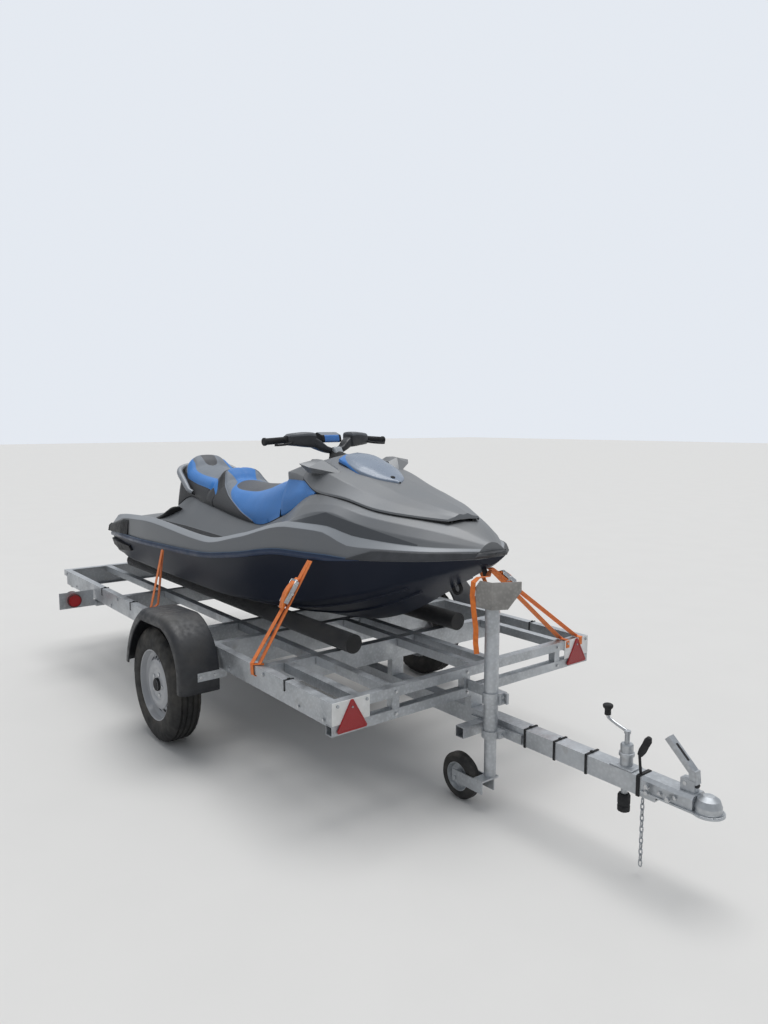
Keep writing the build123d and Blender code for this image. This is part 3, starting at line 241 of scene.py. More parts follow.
def make_looks():
    """Every material, by a short name."""
    hull_sockets = {"Coat_Weight": 0.06, "Coat_Roughness": 0.2, "Specular_IOR_Level": 0.22}
    hull = Look("hull_gelcoat", (0.007, 0.011, 0.024), 0.44, **hull_sockets)
    hull.mottle(5, (0.010, 0.014, 0.028), 0.35, 0.7, 0.6, 4)
    hull.bump(hull.noise(260, 2), 0.0003, 0.1)
    carpet = Look("bunk_carpet", (0.012, 0.012, 0.013), 0.95, Sheen_Weight=0.3)
    carpet.bump(carpet.noise(900, 4), 0.003, 0.9).dust(0.25, 14)
    webbing = Look("orange_webbing", (0.86, 0.22, 0.03), 0.72, Sheen_Weight=0.2)
    webbing.bump(webbing.cells(800, (1, 1, 0.5)), 0.0006, 0.5)
    webbing.mottle(60, (0.62, 0.13, 0.02), 0.35, 0.7, 0.7)
    lens = Look("lamp_lens", (0.45, 0.008, 0.012), 0.12, Coat_Weight=0.6, Transmission_Weight=0.15)
    reflex = Look("reflex_lens", (0.33, 0.006, 0.010), 0.3, Coat_Weight=0.25)
    glass = Look("mirror_glass", (0.30, 0.33, 0.36), 0.04, 1.0)
    return {
        "hull": hull,
        "deck": gelcoat("deck_grey", DECK_COLOR, 0.48),
        "band": gelcoat("band_grey", (0.31, 0.328, 0.35), 0.5, 0.2),
        # The facet look is the deck's grey with painted shade below its lines, for the facet's angle to the light
        "facet": gelcoat("facet_painted_shade", DECK_COLOR, 0.5).wedge(FACET_SHADE_LINES, (0.082, 0.087, 0.095)),
        "hood": gelcoat("hood_grey", (0.190, 0.198, 0.208), 0.46),
        "glass": glass.mottle(6, (0.22, 0.24, 0.27), 0.4, 0.8, 0.5),
        "bumper": plastic("bumper_plastic", (0.040, 0.042, 0.046), 0.55),
        "blue_rail": paint("rail_blue", (0.009, 0.027, 0.075), 0.42, 0.15),
        "rail_line": paint("rail_line", (0.045, 0.085, 0.15), 0.45, 0.1),
        "visor": paint("visor_gloss", (0.225, 0.275, 0.355), 0.26, 0.2).wedge(FLASH_LINES, (0.055, 0.24, 0.66)),
        "visor_edge": paint("visor_edge_blue", (0.055, 0.22, 0.62), 0.3),
        "black_plastic": plastic("black_plastic", (0.012, 0.012, 0.013)),
        "pod_side": plastic("pod_dark", (0.030, 0.031, 0.035), 0.42, 500),
        "grey_plastic": plastic("grey_plastic", (0.10, 0.105, 0.115), 0.5),
        "silver_plastic": plastic("silver_plastic", (0.38, 0.40, 0.42), 0.4),
        "rubber": plastic("rubber", (0.015, 0.015, 0.016), 0.75, 400),
        "mat": plastic("deck_mat", (0.022, 0.023, 0.025), 0.85, 260),
        "seat_blue": vinyl("seat_blue", (0.035, 0.22, 0.62)),
        "seat_top": vinyl("seat_grey", (0.075, 0.078, 0.086)),
        "seat_side": vinyl("seat_charcoal", (0.026, 0.027, 0.030)),
        "seat_wedge": vinyl("seat_light_grey", (0.20, 0.225, 0.26)),
        "seat_piping": vinyl("seat_piping", (0.23, 0.26, 0.31)),
        "alu": metal("jet_aluminium", (0.52, 0.53, 0.54), 0.4, 30, 0.3, 0.55),
        "steel": metal("bright_steel", (0.55, 0.56, 0.57), 0.28, 60, 0.2, 0.42),
        "cast": plastic("engine_block", (0.05, 0.05, 0.05), 0.6),
        "tyre": plastic("tyre_rubber", (0.014, 0.014, 0.014), 0.78, 500).dust(0.5, 12),
        "wheel_steel": paint("wheel_silver", (0.40, 0.41, 0.43), 0.38, 0.3).dust(0.35, 20),
        "zinc": zinc("galvanised", (0.50, 0.52, 0.54)),
        "bracket": zinc("bracket_zinc", (0.33, 0.32, 0.305)),
        "fender": plastic("fender_plastic", (0.015, 0.017, 0.021), 0.48, 350).dust(0.22, 7),
        "carpet": carpet,
        "lamp_red": lens.bump(lens.cells(160), 0.0012, 0.4),
        "reflector": reflex.bump(reflex.cells(240), 0.0012, 0.6),
        "white_plate": plastic("white_plate", (0.72, 0.72, 0.70), 0.45),
        "strap": webbing,
    }


looks = make_looks()

# Body, slot and look of what is often made
BLACK = ("root", "black_plastic", "rubber")
RUBBER = ("root", "rubber", "rubber")
STEEL = ("root", "steel", "steel")
ZINC = ("root", "zinc", "zinc")
ON_BAR = ("steering", "black_plastic", "rubber")

SLOT_LOOK = {"seat": "seat_side"}
NODE_LOOK = {
    "mirror_left": "hood",
    "mirror_right": "hood",
    "reverse_bucket": "black_plastic",
    "bow_eye": "rubber",
    # The steel hood hinge is dressed black: painted shade in the gap under the hood's front
    "hood_hinge": "rubber",
    "post_bracket": "bracket",
}


def dress(obj, *names):
    """Give a mesh its materials, in the order of its faces' indices."""
    if len(obj.data.materials):
        obj.data.materials.clear()
    for name in names:
        obj.data.materials.append(looks[name].material)


def dress_cad_nodes():
    """Each carried-over CAD node gets the look of its slot, or its own."""
    for part in frame["record"]["subparts"]:
        node, slot = part["node"], part["material_slot"]
        dress(nodes[node], NODE_LOOK.get(node, SLOT_LOOK.get(slot, slot)))


# Curves and points


def cubic(p, q, m, n, t):
    """From p to q, with the slopes m and n, at a share t of the way."""
    start, end = (2 * t**3 - 3 * t**2 + 1) * p, (3 * t**2 - 2 * t**3) * q
    return start + (t**3 - 2 * t**2 + t) * m + end + (t**3 - t**2) * n


def curve_through(rows, x):
    """The columns of a table at x, on monotone cubics through the rows, whose first column is x."""
    last = len(rows) - 2
    i = min(max(sum(row[0] <= x for row in rows) - 1, 0), last)
    width = rows[i + 1][0] - rows[i][0]

    def rise(k, column):
        return (rows[k + 1][column] - rows[k][column]) / (rows[k + 1][0] - rows[k][0])

    def slope(k, column):
        """Slope of a column at row k, flat where the column turns."""
        if k in (0, last + 1):
            return rise(min(k, last), column)
        before, after = rise(k - 1, column), rise(k, column)
        return 2 * before * after / (before + after) if before * after > 0 else 0.0

    return [
        cubic(rows[i][c], rows[i + 1][c], slope(i, c) * width, slope(i + 1, c) * width, (x - rows[i][0]) / width)
        for c in range(1, len(rows[0]))
    ]


def section(table, x):
    """The columns of a millimetre table at x, in metres."""
    return [value / 1000 for value in curve_through(table, x)]


def spread(start, end, step):
    """Even steps from start to end, both included."""
    count = max(2, round(abs(end - start) / step) + 1)
    return [start + (end - start) * i / (count - 1) for i in range(count)]


def between(start, end, count):
    """Points of a straight line, both ends included."""
    return [tuple(Vector(start).lerp(Vector(end), i / count)) for i in range(count + 1)]


def circle(count):
    """Even angles round a turn."""
    return [2 * math.pi * k / count for k in range(count)]


def on_side(points, side):
    """Points of the port side, or their mirror images."""
    return [(x, side * y, z) for x, y, z in points]


def both_sides(half):
    """A half section that ends on the centreline, and its mirror image."""
    return half + [(-y, z) for y, z in half[::-1]][1:]


def rounded(points, radii, steps=3):
    """Points with each inner corner rounded; returns (points, the run each point starts)."""
    made = [points[0]]
    runs = [0]
    for k in range(1, len(points) - 1):
        before, corner, after = (Vector(points[k + j]) for j in (-1, 0, 1))
        reach = min(radii[k - 1], 0.4 * (before - corner).length, 0.4 * (after - corner).length)
        start = corner + (before - corner).normalized() * reach
        end = corner + (after - corner).normalized() * reach
        for i in range(steps + 1):
            t = i / steps
            made.append(tuple((1 - t) ** 2 * start + 2 * t * (1 - t) * corner + t * t * end))
            runs.append(k - 1 if i < steps / 2 else k)
    made.append(points[-1])
    runs.append(len(points) - 2)
    return made, runs


# Meshes and pieces


def smooth(mesh, degrees=32):
    """Smooth shading with crisp edges past an angle."""
    mesh.shade_smooth()
    mesh.set_sharp_from_angle(angle=math.radians(degrees))


def sheet_mesh(name, rings, closed=False, caps=(False, False), index=None):
    """Faces between rings of equal length; index gives a face's material from its ring and its place."""
    mesh = bpy.data.meshes.new(name)
    form = bmesh.new()
    rows = [[form.verts.new(point) for point in ring] for ring in rings]
    count = len(rings[0])
    for r in range(len(rows) - 1):
        for c in range(count if closed else count - 1):
            d = (c + 1) % count
            face = form.faces.new((rows[r][c], rows[r][d], rows[r + 1][d], rows[r + 1][c]))
            if index:
                face.material_index = index(r, c)
    for row, wanted in zip((rows[0][::-1], rows[-1]), caps):
        if wanted:
            form.faces.new(row)
    bmesh.ops.remove_doubles(form, verts=form.verts, dist=1e-5)
    bmesh.ops.recalc_face_normals(form, faces=form.faces)
    form.to_mesh(mesh)
    form.free()
    smooth(mesh)
    return mesh


def solid_mesh(name, rings, index=None):
    """A closed form through closed rings."""
    return sheet_mesh(name, rings, True, (True, True), index)


def box_mesh(name, low, high):
    """A block between two corners."""
    corners = [(x, y, z) for z in (low[2], high[2]) for x, y in
               ((low[0], low[1]), (high[0], low[1]), (high[0], high[1]), (low[0], high[1]))]
    return solid_mesh(name, [corners[:4], corners[4:]])


def lathe_mesh(name, profile, sides=32, at=(0, 0, 0), direction=UP, stretch=(1, 1)):
    """A round form from (radius, height) pairs, stretched across, on a point and along a direction."""
    wide, deep = stretch
    rings = [[(r * math.cos(a) * wide, r * math.sin(a) * deep, z) for a in circle(sides)] for r, z in profile]
    mesh = sheet_mesh(name, rings, True, (profile[0][0] > 1e-4, profile[-1][0] > 1e-4))
    stand(mesh, at, direction)
    return mesh


def stand(mesh, at, direction):
    """Stand a mesh on a point, its Z axis along a direction."""
    turn = Vector(UP).rotation_difference(Vector(direction)).to_matrix().to_4x4()
    mesh.transform(Matrix.Translation(Vector(at)) @ turn)


def joined(name, meshes):
    """Several meshes as one."""
    form = bmesh.new()
    for mesh in meshes:
        form.from_mesh(mesh)
        bpy.data.meshes.remove(mesh)
    made = bpy.data.meshes.new(name)
    form.to_mesh(made)
    form.free()
    smooth(made)
    return made


def piece(name, mesh, body, slot, *names, node=None):
    """Link a new object, dress it, let it ride on a body and stand for a CAD node."""
    obj = bpy.data.objects.new(name, mesh)
    bpy.context.collection.objects.link(obj)
    dress(obj, *names)
    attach(obj, body)
    if node:
        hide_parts(node)
    return obj


def solid(name, rings, *rest, **more):
    """A piece through closed rings; the rest says its body, slot, looks and node; the slot is not used."""
    return piece(name, solid_mesh(name, rings), *rest, **more)


def turned(name, profile, sides, at, direction, *rest, **more):
    """A lathed piece."""
    return piece(name, lathe_mesh(name, profile, sides, at, direction), *rest, **more)


def tube(name, path, radius, *rest, sides=10, taper=None, **more):
    """A round bar along a path, with a closed end each way; taper gives its share of the radius."""
    points = [Vector(point) for point in path]
    rings = []
    normal = None
    for i, point in enumerate(points):
        ahead = points[min(i + 1, len(points) - 1)] - points[max(i - 1, 0)]
        ahead.normalize()
        if normal is None:
            normal = ahead.orthogonal().normalized()
        normal = (normal - ahead * normal.dot(ahead)).normalized()
        across = ahead.cross(normal)
        size = radius * (taper[i] if taper else 1)
        rings.append([tuple(point + size * (math.cos(a) * normal + math.sin(a) * across)) for a in circle(sides)])
    return solid(name, rings, *rest, **more)


def modifier(obj, kind, **settings):
    made = obj.modifiers.new(kind.lower(), kind)
    for key, value in settings.items():
        setattr(made, key, value)


def keep_flats(obj):
    """Even out the shading over broad faces."""
    modifier(obj, "WEIGHTED_NORMAL", keep_sharp=True)


def bake(obj):
    """Apply a piece's modifiers and shade it afresh."""
    depsgraph = bpy.context.evaluated_depsgraph_get()
    old = obj.data
    obj.data = bpy.data.meshes.new_from_object(obj.evaluated_get(depsgraph), depsgraph=depsgraph)
    obj.modifiers.clear()
    bpy.data.meshes.remove(old)
    smooth(obj.data)
    keep_flats(obj)


def cut(obj, mesh):
    """Take a shape away from a piece."""
    helper = bpy.data.objects.new("cutter", mesh)
    bpy.context.collection.objects.link(helper)
    modifier(obj, "BOOLEAN", operation="DIFFERENCE", solver="EXACT", object=helper)
    bake(obj)
    bpy.data.objects.remove(helper)


def boxed(name, low, high, width, *rest, **more):
    """A block with broken edges."""
    obj = piece(name, box_mesh(name, low, high), *rest, **more)
    modifier(obj, "BEVEL", width=width, segments=2)
    keep_flats(obj)


# The hull and deck mouldings: half sections from the stern to the bow
Station = namedtuple(
    "Station",
    "x keel_z chine_y chine_z bond_y bond_z low_y low_z top_y top_z "
    "foot_y foot_z side_y side_z shoulder_y shoulder_z middle_z",
)
STATIONS = (
    (-2120, 560, 420, 672, 460, 806, 452, 884, 430, 912, 398, 908, 330, 912, 190, 920, 925),
    (-1920, 560, 455, 680, 508, 828, 502, 914, 478, 962, 422, 935, 335, 938, 195, 948, 953),
    (-1750, 560, 490, 684, 550, 846, 541, 942, 512, 984, 432, 946, 338, 947, 198, 966, 973),
    (-1560, 560, 512, 688, 580, 861, 571, 976, 541, 1004, 438, 948, 338, 950, 200, 1030, 1038),
    (-1320, 560, 522, 691, 597, 867, 584, 992, 551, 1018, 440, 945, 339, 951, 196, 1118, 1124),
    (-1100, 560, 530, 693, 610, 875, 594, 1003, 560, 1028, 440, 942, 340, 952, 215, 1098, 1104),
    (-330, 560, 525, 692, 600, 903, 584, 970, 550, 995, 440, 928, 355, 942, 260, 1040, 1055),
    (0, 562, 500, 705, 573, 943, 555, 1030, 523, 1052, 440, 985, 380, 1015, 288, 1120, 1130),
    (380, 603, 435, 755, 510, 1000, 492, 1116, 464, 1139, 432, 1165, 385, 1215, 318, 1262, 1266),
    (560, 650, 385, 795, 468, 1001, 442, 1112, 415, 1136, 398, 1198, 352, 1226, 296, 1243, 1247),
    (745, 726, 325, 843, 410, 1004, 388, 1058, 358, 1098, 340, 1150, 302, 1188, 260, 1205, 1209),
    (1060, 910, 170, 955, 255, 1022, 235, 1062, 208, 1077, 190, 1102, 148, 1136, 90, 1160, 1168),
    (1215, 1002, 45, 1012, 84, 1034, 74, 1066, 62, 1076, 50, 1084, 38, 1092, 20, 1098, 1101),
)
STERN_X, STEM_X = STATIONS[0][0], STATIONS[-1][0]
FACET_X = (345, 1010)
STRAKE_SHAPE = ((0, 0.004), (0, 0), (0.02, -0.009), (0.022, 0.004))
JET_Z = 0.655
TUNNEL_R = 0.100
TUNNEL_X = (STERN_X / 1000 - 0.05, STERN_X / 1000 + 0.38)


def station(x):
    """The half section at x, in metres."""
    return Station(x / 1000, *section(STATIONS, x))


def skin_mesh(name, xs, half_of, radii, look_of):
    """A closed loft through rounded half sections; look_of gives a run's material index at x."""
    rings = []
    for x in xs:
        half, runs = rounded(half_of(x), radii)
        rings.append([(x / 1000, y, z) for y, z in both_sides(half)[:-1]])
    count = len(rings[0])

    def index(r, c):
        run = runs[c] if c < len(runs) - 1 else runs[count - 1 - c]
        return look_of(run, (xs[r] + xs[r + 1]) / 2)

    return solid_mesh(name, rings, index)


def make_hull():
    """Hull with rounded chines, spray strakes and the pump's tunnel."""

    def half(x):
        s = station(x)
        return [(0, s.keel_z), (s.chine_y, s.chine_z), (s.bond_y, s.bond_z), (0, s.bond_z)]

    for share in (0.4, 0.72):
        for side, word in SIDES[::-1]:
            rings = []
            for x in spread(-1800, 900, 60):
                s = station(x)
                slope = (s.chine_z - s.keel_z) / s.chine_y
                y = share * s.chine_y
                z = s.keel_z + slope * y
                rings.append([(x / 1000, side * (y + dy), z + slope * dy + dz) for dy, dz in STRAKE_SHAPE])
            solid(f"strake_{word}_{round(share * 100)}", rings, "root", "hull", "hull")
    mesh = skin_mesh("hull_skin", spread(STERN_X, STEM_X, 45), half, (0.018, 0.0), lambda run, x: 0)
    obj = piece("hull_skin", mesh, "root", "hull", "hull")
    arch = [(TUNNEL_R * math.cos(a), JET_Z + TUNNEL_R * math.sin(a)) for a in circle(48)[:25]]
    arch += [(-TUNNEL_R, 0.5), (TUNNEL_R, 0.5)]
    cut(obj, solid_mesh("tunnel", [[(x, y, z) for y, z in arch] for x in TUNNEL_X]))
    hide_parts("hull")


def make_deck():
    """Deck with its gunwale band, painted shade on the facets of the bow's flanks, console and the hatch of the storage
    tub.
    """

    def half(x):
        s = station(x)
        return [
            (0, s.bond_z), (s.bond_y, s.bond_z), (s.low_y, s.low_z), (s.top_y, s.top_z),
            (s.foot_y, s.foot_z), (s.side_y, s.side_z), (s.shoulder_y, s.shoulder_z), (0, s.middle_z),
        ]

    def look_of(run, x):
        if run == 2:
            return 1
        # The facet run takes the look with painted shade
        return 2 if run == 3 and FACET_X[0] < x < FACET_X[1] else 0

    xs = sorted(set(spread(STERN_X, STEM_X, 45) + list(FACET_X)))
    mesh = skin_mesh("deck_skin", xs, half, (0.0, 0.005, 0.005, 0.006, 0.006, 0.010), look_of)
    obj = piece("deck_skin", mesh, "root", "deck", "deck", "band", "facet")
    tub_low, tub_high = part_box("storage_tub")
    cut(obj, box_mesh("hatch", tub_low, (tub_high[0], tub_high[1], 1.5)))
    console = box_mesh("deck_console", (-0.02, -0.2, 1.10), (0.345, 0.2, 1.30))
    modifier(piece("deck_console", console, "root", "deck", "deck"), "BEVEL", width=0.006, segments=2)
    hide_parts("deck")


def side_strips(name, xs, ring, look, node, corners):
    """A strip along both sides from sections that ring gives in metres, standing for a CAD node."""
    for side, word in SIDES:
        rings = [[(x / 1000, side * y, z) for y, z in rounded(ring(x), corners)[0]] for x in xs]
        keep_flats(solid(f"{name}_{word}", rings, "root", look, look, node=node))


BUMPER_REAR = 745
NOSE_X = (1.213, 1.241)
BUMPER_OUT = 0.014
BUMPER_GAP = 0.003
RAIL_END = 800


def make_bumper():
    """Bow bumper: two cheeks from a sloped rear end, joined round the stem by the nose."""

    def ring(x):
        s = station(x)
        grown = min(1, (x - BUMPER_REAR) / 130 + 0.12)
        low, high = s.bond_z + BUMPER_GAP, s.low_z - BUMPER_GAP
        upper, rise = s.bond_y + (s.low_y - s.bond_y) * grown, low + (high - low) * grown
        lower_edge = [(s.bond_y - 0.008, low), (s.bond_y + BUMPER_OUT, low)]
        return lower_edge + [(upper + BUMPER_OUT, rise), (upper - 0.008, rise)]

    side_strips("bumper", spread(BUMPER_REAR, STEM_X, 26), ring, "bumper", "bow_bumper", (0.006, 0.006))
    rings = []
    end = station(STEM_X)
    for t in spread(0, 1, 0.1):
        width = math.sqrt(max(1 - t**1.7, 0.0))
        x = NOSE_X[0] + (NOSE_X[1] - NOSE_X[0]) * t
        low, high = end.bond_z + BUMPER_GAP + 0.012 * t, end.low_z - BUMPER_GAP - 0.004 * t
        reach, upper = ((y + BUMPER_OUT) * width + 0.006 * t for y in (end.bond_y, end.low_y))
        half = [(0, low - 0.004), (reach * 0.86, low), (reach, low + 0.006)]
        half += [(upper, high - 0.006), (upper * 0.86, high), (0, high + 0.003)]
        rings.append([(x, y, z) for y, z in both_sides(half)[:-1]])
    solid("bumper_nose", rings, "root", "bumper", "bumper", node="bow_bumper")


def make_rub_rail():
    """Dark blue rail over the joint of hull and deck, with a light line along it."""

    def ring(x):
        s = station(x)
        share = min(1, (RAIL_END - x) / 190 + 0.12)
        shape = ((-0.004, -0.015), (0.009 * share, -0.013), (0.013 * share, 0), (0.008 * share, 0.013), (-0.004, 0.015))
        return [(s.bond_y + out, s.bond_z + up * share) for out, up in shape]

    xs = spread(STERN_X, 580, 45) + spread(600, RAIL_END, 20)
    side_strips("rub_rail", xs, ring, "blue_rail", "rub_rail", (0.002, 0.003, 0.002))
    for side, word in SIDES:
        path = [(x / 1000, side * ring(x)[3][0], ring(x)[3][1] + 0.0015) for x in xs[:-3]]
        tube(f"rail_line_{word}", path, 0.0026, "root", "blue_rail", "rail_line", sides=8)


# Saddles: x, then y and z of side, shoulder and seam, and the middle's z
SEAT_REAR = (
    (-1530, 170, 1225, 110, 1305, 60, 1340, 1350),
    (-1500, 182, 1215, 135, 1318, 80, 1366, 1377),
    (-1450, 190, 1200, 160, 1285, 90, 1338, 1350),
    (-1400, 196, 1185, 168, 1262, 104, 1292, 1305),
    (-1320, 200, 1172, 173, 1247, 116, 1277, 1298),
    (-1250, 204, 1160, 178, 1234, 128, 1262, 1292),
    (-1039, 216, 1145, 184, 1222, 130, 1240, 1285),
    (-1012, 214, 1144, 170, 1212, 122, 1232, 1276),
)
SEAT_FRONT = (
    (-1035, 220, 1148, 150, 1240, 95, 1276, 1288),
    (-1005, 224, 1146, 152, 1246, 100, 1298, 1311),
    (-965, 228, 1136, 160, 1222, 102, 1268, 1282),
    (-920, 231, 1126, 170, 1198, 112, 1226, 1240),
    (-700, 243, 1100, 196, 1168, 140, 1200, 1231),
    (-550, 250, 1095, 202, 1166, 140, 1202, 1236),
    (-400, 255, 1102, 205, 1184, 130, 1226, 1252),
    (-250, 261, 1126, 209, 1224, 112, 1272, 1288),
    (-38, 268, 1176, 218, 1290, 90, 1322, 1332),
)
# Seams of a saddle, from its lower edge up: x and the distance over the cover from the middle, then the panel above
SEAMS_REAR = (
    (((-1507, 0), (-1503, 90), (-1495, 150), (-1470, 186), (-1440, 202), (-1383, 214), (-1250, 224), (-1039, 240)), 1),
    (((-1505, 0), (-1501, 82), (-1490, 114), (-1450, 114), (-1420, 122), (-1300, 142), (-1120, 142), (-1039, 132)), 2),
    (((-1503, 0), (-1498, 50), (-1440, 46), (-1420, 34), (-1408, 0)), 3),
)
SEAMS_FRONT = (
    (((-1034, 240), (-985, 246), (-935, 248), (-931, 500)), 1),
    (((-1034, 166), (-985, 205), (-935, 247), (-931, 500)), 0),
    (((-1014, 0), (-1008, 60), (-1000, 102), (-950, 142), (-920, 158), (-860, 184), (-780, 219),
      (-600, 285), (-440, 345), (-380, 372), (-340, 420)), 2),
    (((-1013, 0), (-1007, 60), (-999, 99), (-965, 84), (-930, 72), (-905, 78), (-860, 116),
      (-820, 164), (-780, 200), (-720, 236), (-640, 270), (-600, 284), (-440, 344), (-380, 371), (-340, 419)), 1),
    (((-895, 0), (-888, 44), (-870, 86), (-838, 118), (-780, 140), (-700, 150), (-600, 153), (-500, 148),
      (-420, 128), (-360, 95), (-325, 50), (-312, 0)), 3),
)
SEAT_LOOKS = ("seat_side", "seat_blue", "seat_wedge", "seat_top")
SEAM_DEPTH = 0.004
# Where each saddle has its rings: close together over the crest and the seams
REAR_XS = [-1527, -1520, -1512, -1508, -1505, -1502, -1499, -1496, -1492, -1486, -1478, -1468]
REAR_XS += spread(-1458, -1400, 8) + spread(-1390, -1012, 13)
FRONT_XS = [-1035, -1031, -1026, -1021, -1017, -1014, -1012, -1010, -1008, -1005, -1002, -999, -994, -988]
FRONT_XS += spread(-980, -820, 7) + spread(-810, -300, 12) + spread(-286, -38, 16)
# Knee panels under the hood: x, then y and z of the lower edge, the middle and the upper edge
KNEE_PANEL = (
    (-36, 281, 1113, 274, 1200, 232, 1304),
    (0, 287, 1121, 284, 1200, 240, 1306),
    (165, 300, 1184, 298, 1244, 264, 1312),
    (345, 315, 1251, 317, 1260, 312, 1270),
)


def saddle_section(rows, x):
    """(distance from the middle, y, z, outward y, outward z) down one side of a saddle."""
    side_y, side_z, shoulder_y, shoulder_z, seam_y, seam_z, middle_z = section(rows, x)
    s = station(x)
    control = [
        (-seam_y, seam_z), (0, middle_z), (seam_y, seam_z), (shoulder_y, shoulder_z), (side_y, side_z),
        (s.shoulder_y + 0.004, s.shoulder_z), (s.shoulder_y - 0.01, s.shoulder_z - 0.03),
    ]
    points = []
    for i in range(1, len(control) - 2):
        before, start, end, after = (Vector(control[i + k]) for k in (-1, 0, 1, 2))
        points += [cubic(start, end, (end - before) / 2, (after - start) / 2, j / 12) for j in range(12)]
    points.append(Vector(control[-2]))
    made = []
    distance = 0
    for i, point in enumerate(points):
        if i:
            distance += (point - points[i - 1]).length
        along = points[min(i + 1, len(points) - 1)] - points[max(i - 1, 0)]
        out = Vector((-along.y, along.x)).normalized() if i else Vector((0, 1))
        made.append((distance, point.x, point.y, out.x, out.y))
    return made


def on_saddle(section_rows, distance, rise):
    """The (y, z) point at a distance from the middle, raised outwards."""
    distance = min(max(distance, 0), section_rows[-1][0])
    i = min(max(sum(row[0] <= distance for row in section_rows) - 1, 0), len(section_rows) - 2)
    a, b = section_rows[i], section_rows[i + 1]
    t = (distance - a[0]) / max(b[0] - a[0], 1e-9)
    y, z, out_y, out_z = (a[k] + (b[k] - a[k]) * t for k in range(1, 5))
    return y + rise * out_y, z + rise * out_z


def seam_at(seam, x):
    """Distance of a seam from the middle at x, held past its ends."""
    return section(seam, min(max(x, seam[0][0]), seam[-1][0]))[0]


def make_saddle(name, node, rows, seams, xs, columns):
    """A padded saddle: panels that swell between their seams."""
    rings = []
    for x in xs:
        down = saddle_section(rows, x)
        marks = [down[-1][0]]
        for seam, _ in seams:
            marks.append(min(marks[-1], seam_at(seam, x)))
        marks.append(0.0)
        half = []
        for k, count in enumerate(columns):
            wide = marks[k] - marks[k + 1]
            full = min(1, wide / 0.05) * SEAM_DEPTH
            top = k == len(columns) - 1
            for c in range(count + top):
                v = c / count
                edge = 1 - v if top else abs(2 * v - 1)
                swell = full if k == 0 and v < 0.5 else (1 - edge**4) * full
                half.append(on_saddle(down, marks[k] - wide * v, swell))
        half.insert(0, (half[0][0] - 0.03, half[0][1] - 0.012))
        rings.append([(x / 1000, y, z) for y, z in both_sides(half)])
    panels = [0]
    for panel, count in zip([0] + [panel for _, panel in seams], columns):
        panels += [panel] * count
    panels += panels[::-1]
    mesh = solid_mesh(name, rings, lambda r, c: panels[c] if c < len(panels) else 0)
    smooth(mesh, 60)
    obj = piece(name, mesh, "root", "seat", *SEAT_LOOKS)
    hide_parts(node)


def seat_line(name, rows, points, radius):
    """Piping along a line on a saddle, given as x and distance from the middle."""
    dense = [(x, section(points, x)[0]) for x in spread(points[0][0], points[-1][0], 8)]
    path = [(x / 1000, *on_saddle(saddle_section(rows, x), distance, 0.0012)) for x, distance in dense]
    for side, word in SIDES:
        tube(f"{name}_{word}", on_side(path, side), radius, "root", "seat", "seat_piping")


def make_seats():
    """Both saddles with their panels and piping, and the knee panels under the hood."""
    make_saddle("saddle_rear", "seat_rear", SEAT_REAR, SEAMS_REAR, REAR_XS, (14, 8, 8, 6))
    make_saddle("saddle_front", "seat_front", SEAT_FRONT, SEAMS_FRONT, FRONT_XS, (12, 6, 8, 6, 14, 10))
    seat_line("piping_front", SEAT_FRONT, SEAMS_FRONT[2][0][:-1], 0.0026)
    seat_line("piping_rear", SEAT_REAR, SEAMS_REAR[0][0][:5], 0.0022)
    for side, word in SIDES:
        rings = []
        for x in spread(-36, 345, 12):
            low_y, low_z, mid_y, mid_z, high_y, high_z = section(KNEE_PANEL, x)
            points = [(low_y - 0.06, low_z), (low_y, low_z), (mid_y + 0.004, mid_z), (high_y, high_z)]
            half, _ = rounded(points + [(high_y - 0.03, high_z)], (0.012, 0.04, 0.006), 5)
            rings.append([(x / 1000, side * y, z) for y, z in half])
        obj = solid(f"knee_panel_{word}", rings, "root", "seat", "seat_blue")
        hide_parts("seat_front")


# Hood and cowl: x, edge y, edge z, crease y, crease z, middle z
HOOD_SECTIONS = (
    (171, 270, 1322, 206, 1396, 1438),
    (380, 318, 1268, 240, 1348, 1392),
    (560, 296, 1249, 218, 1296, 1326),
    (745, 260, 1211, 178, 1248, 1266),
    (1000, 124, 1181, 80, 1202, 1213),
    (1044, 94, 1178, 52, 1195, 1201),
)
COVER_SECTIONS = (
    (-30, 235, 1335, 160, 1368, 1374),
    (60, 252, 1333, 185, 1385, 1408),
    (165, 268, 1320, 205, 1396, 1436),
)
HOOD_FOOT_Z = 1.176
# How far each added ring at the cowl's rear lies back, is narrower and drops
COWL_REAR = ((0.017, 0.95, 0.08), (0.016, 0.955, 0.022), (0.012, 0.97, 0.008), (0.006, 0.985, 0.002))
COLUMN_LEAN = math.radians(36)
COLUMN_DIRECTION = Vector((-math.sin(COLUMN_LEAN), 0, math.cos(COLUMN_LEAN)))
COLUMN_AT = Vector((0.100, 0, 1.385)) + 0.012 * COLUMN_DIRECTION
# Screen: x, half width, lower edge z, upper edge z, shoulder y and z, and the middle's z
SCREEN_SECTIONS = (
    (262, 118, 1400, 1418, 80, 1438, 1448),
    (300, 126, 1394, 1412, 84, 1432, 1442),
    (420, 128, 1352, 1374, 80, 1394, 1402),
    (510, 98, 1318, 1344, 58, 1358, 1364),
    (560, 66, 1302, 1330, 38, 1339, 1342),
    (594, 22, 1296, 1320, 12, 1324, 1325),
)


def hood_ring(sections, x, ridge=0.0):
    """One section of the hood or the cowl, port edge to starboard edge."""
    edge_y, edge_z, crease_y, crease_z, middle_z = section(sections, x)
    flat = (0.48 * crease_y, middle_z - 0.45 * (middle_z - crease_z) + ridge)
    points = [(edge_y, edge_z), (edge_y, edge_z + 0.009), (crease_y, crease_z), flat, (0, middle_z)]
    half, _ = rounded(points, (0.004, 0.005, 0.005))
    return [(x / 1000, y, z) for y, z in both_sides(half)]


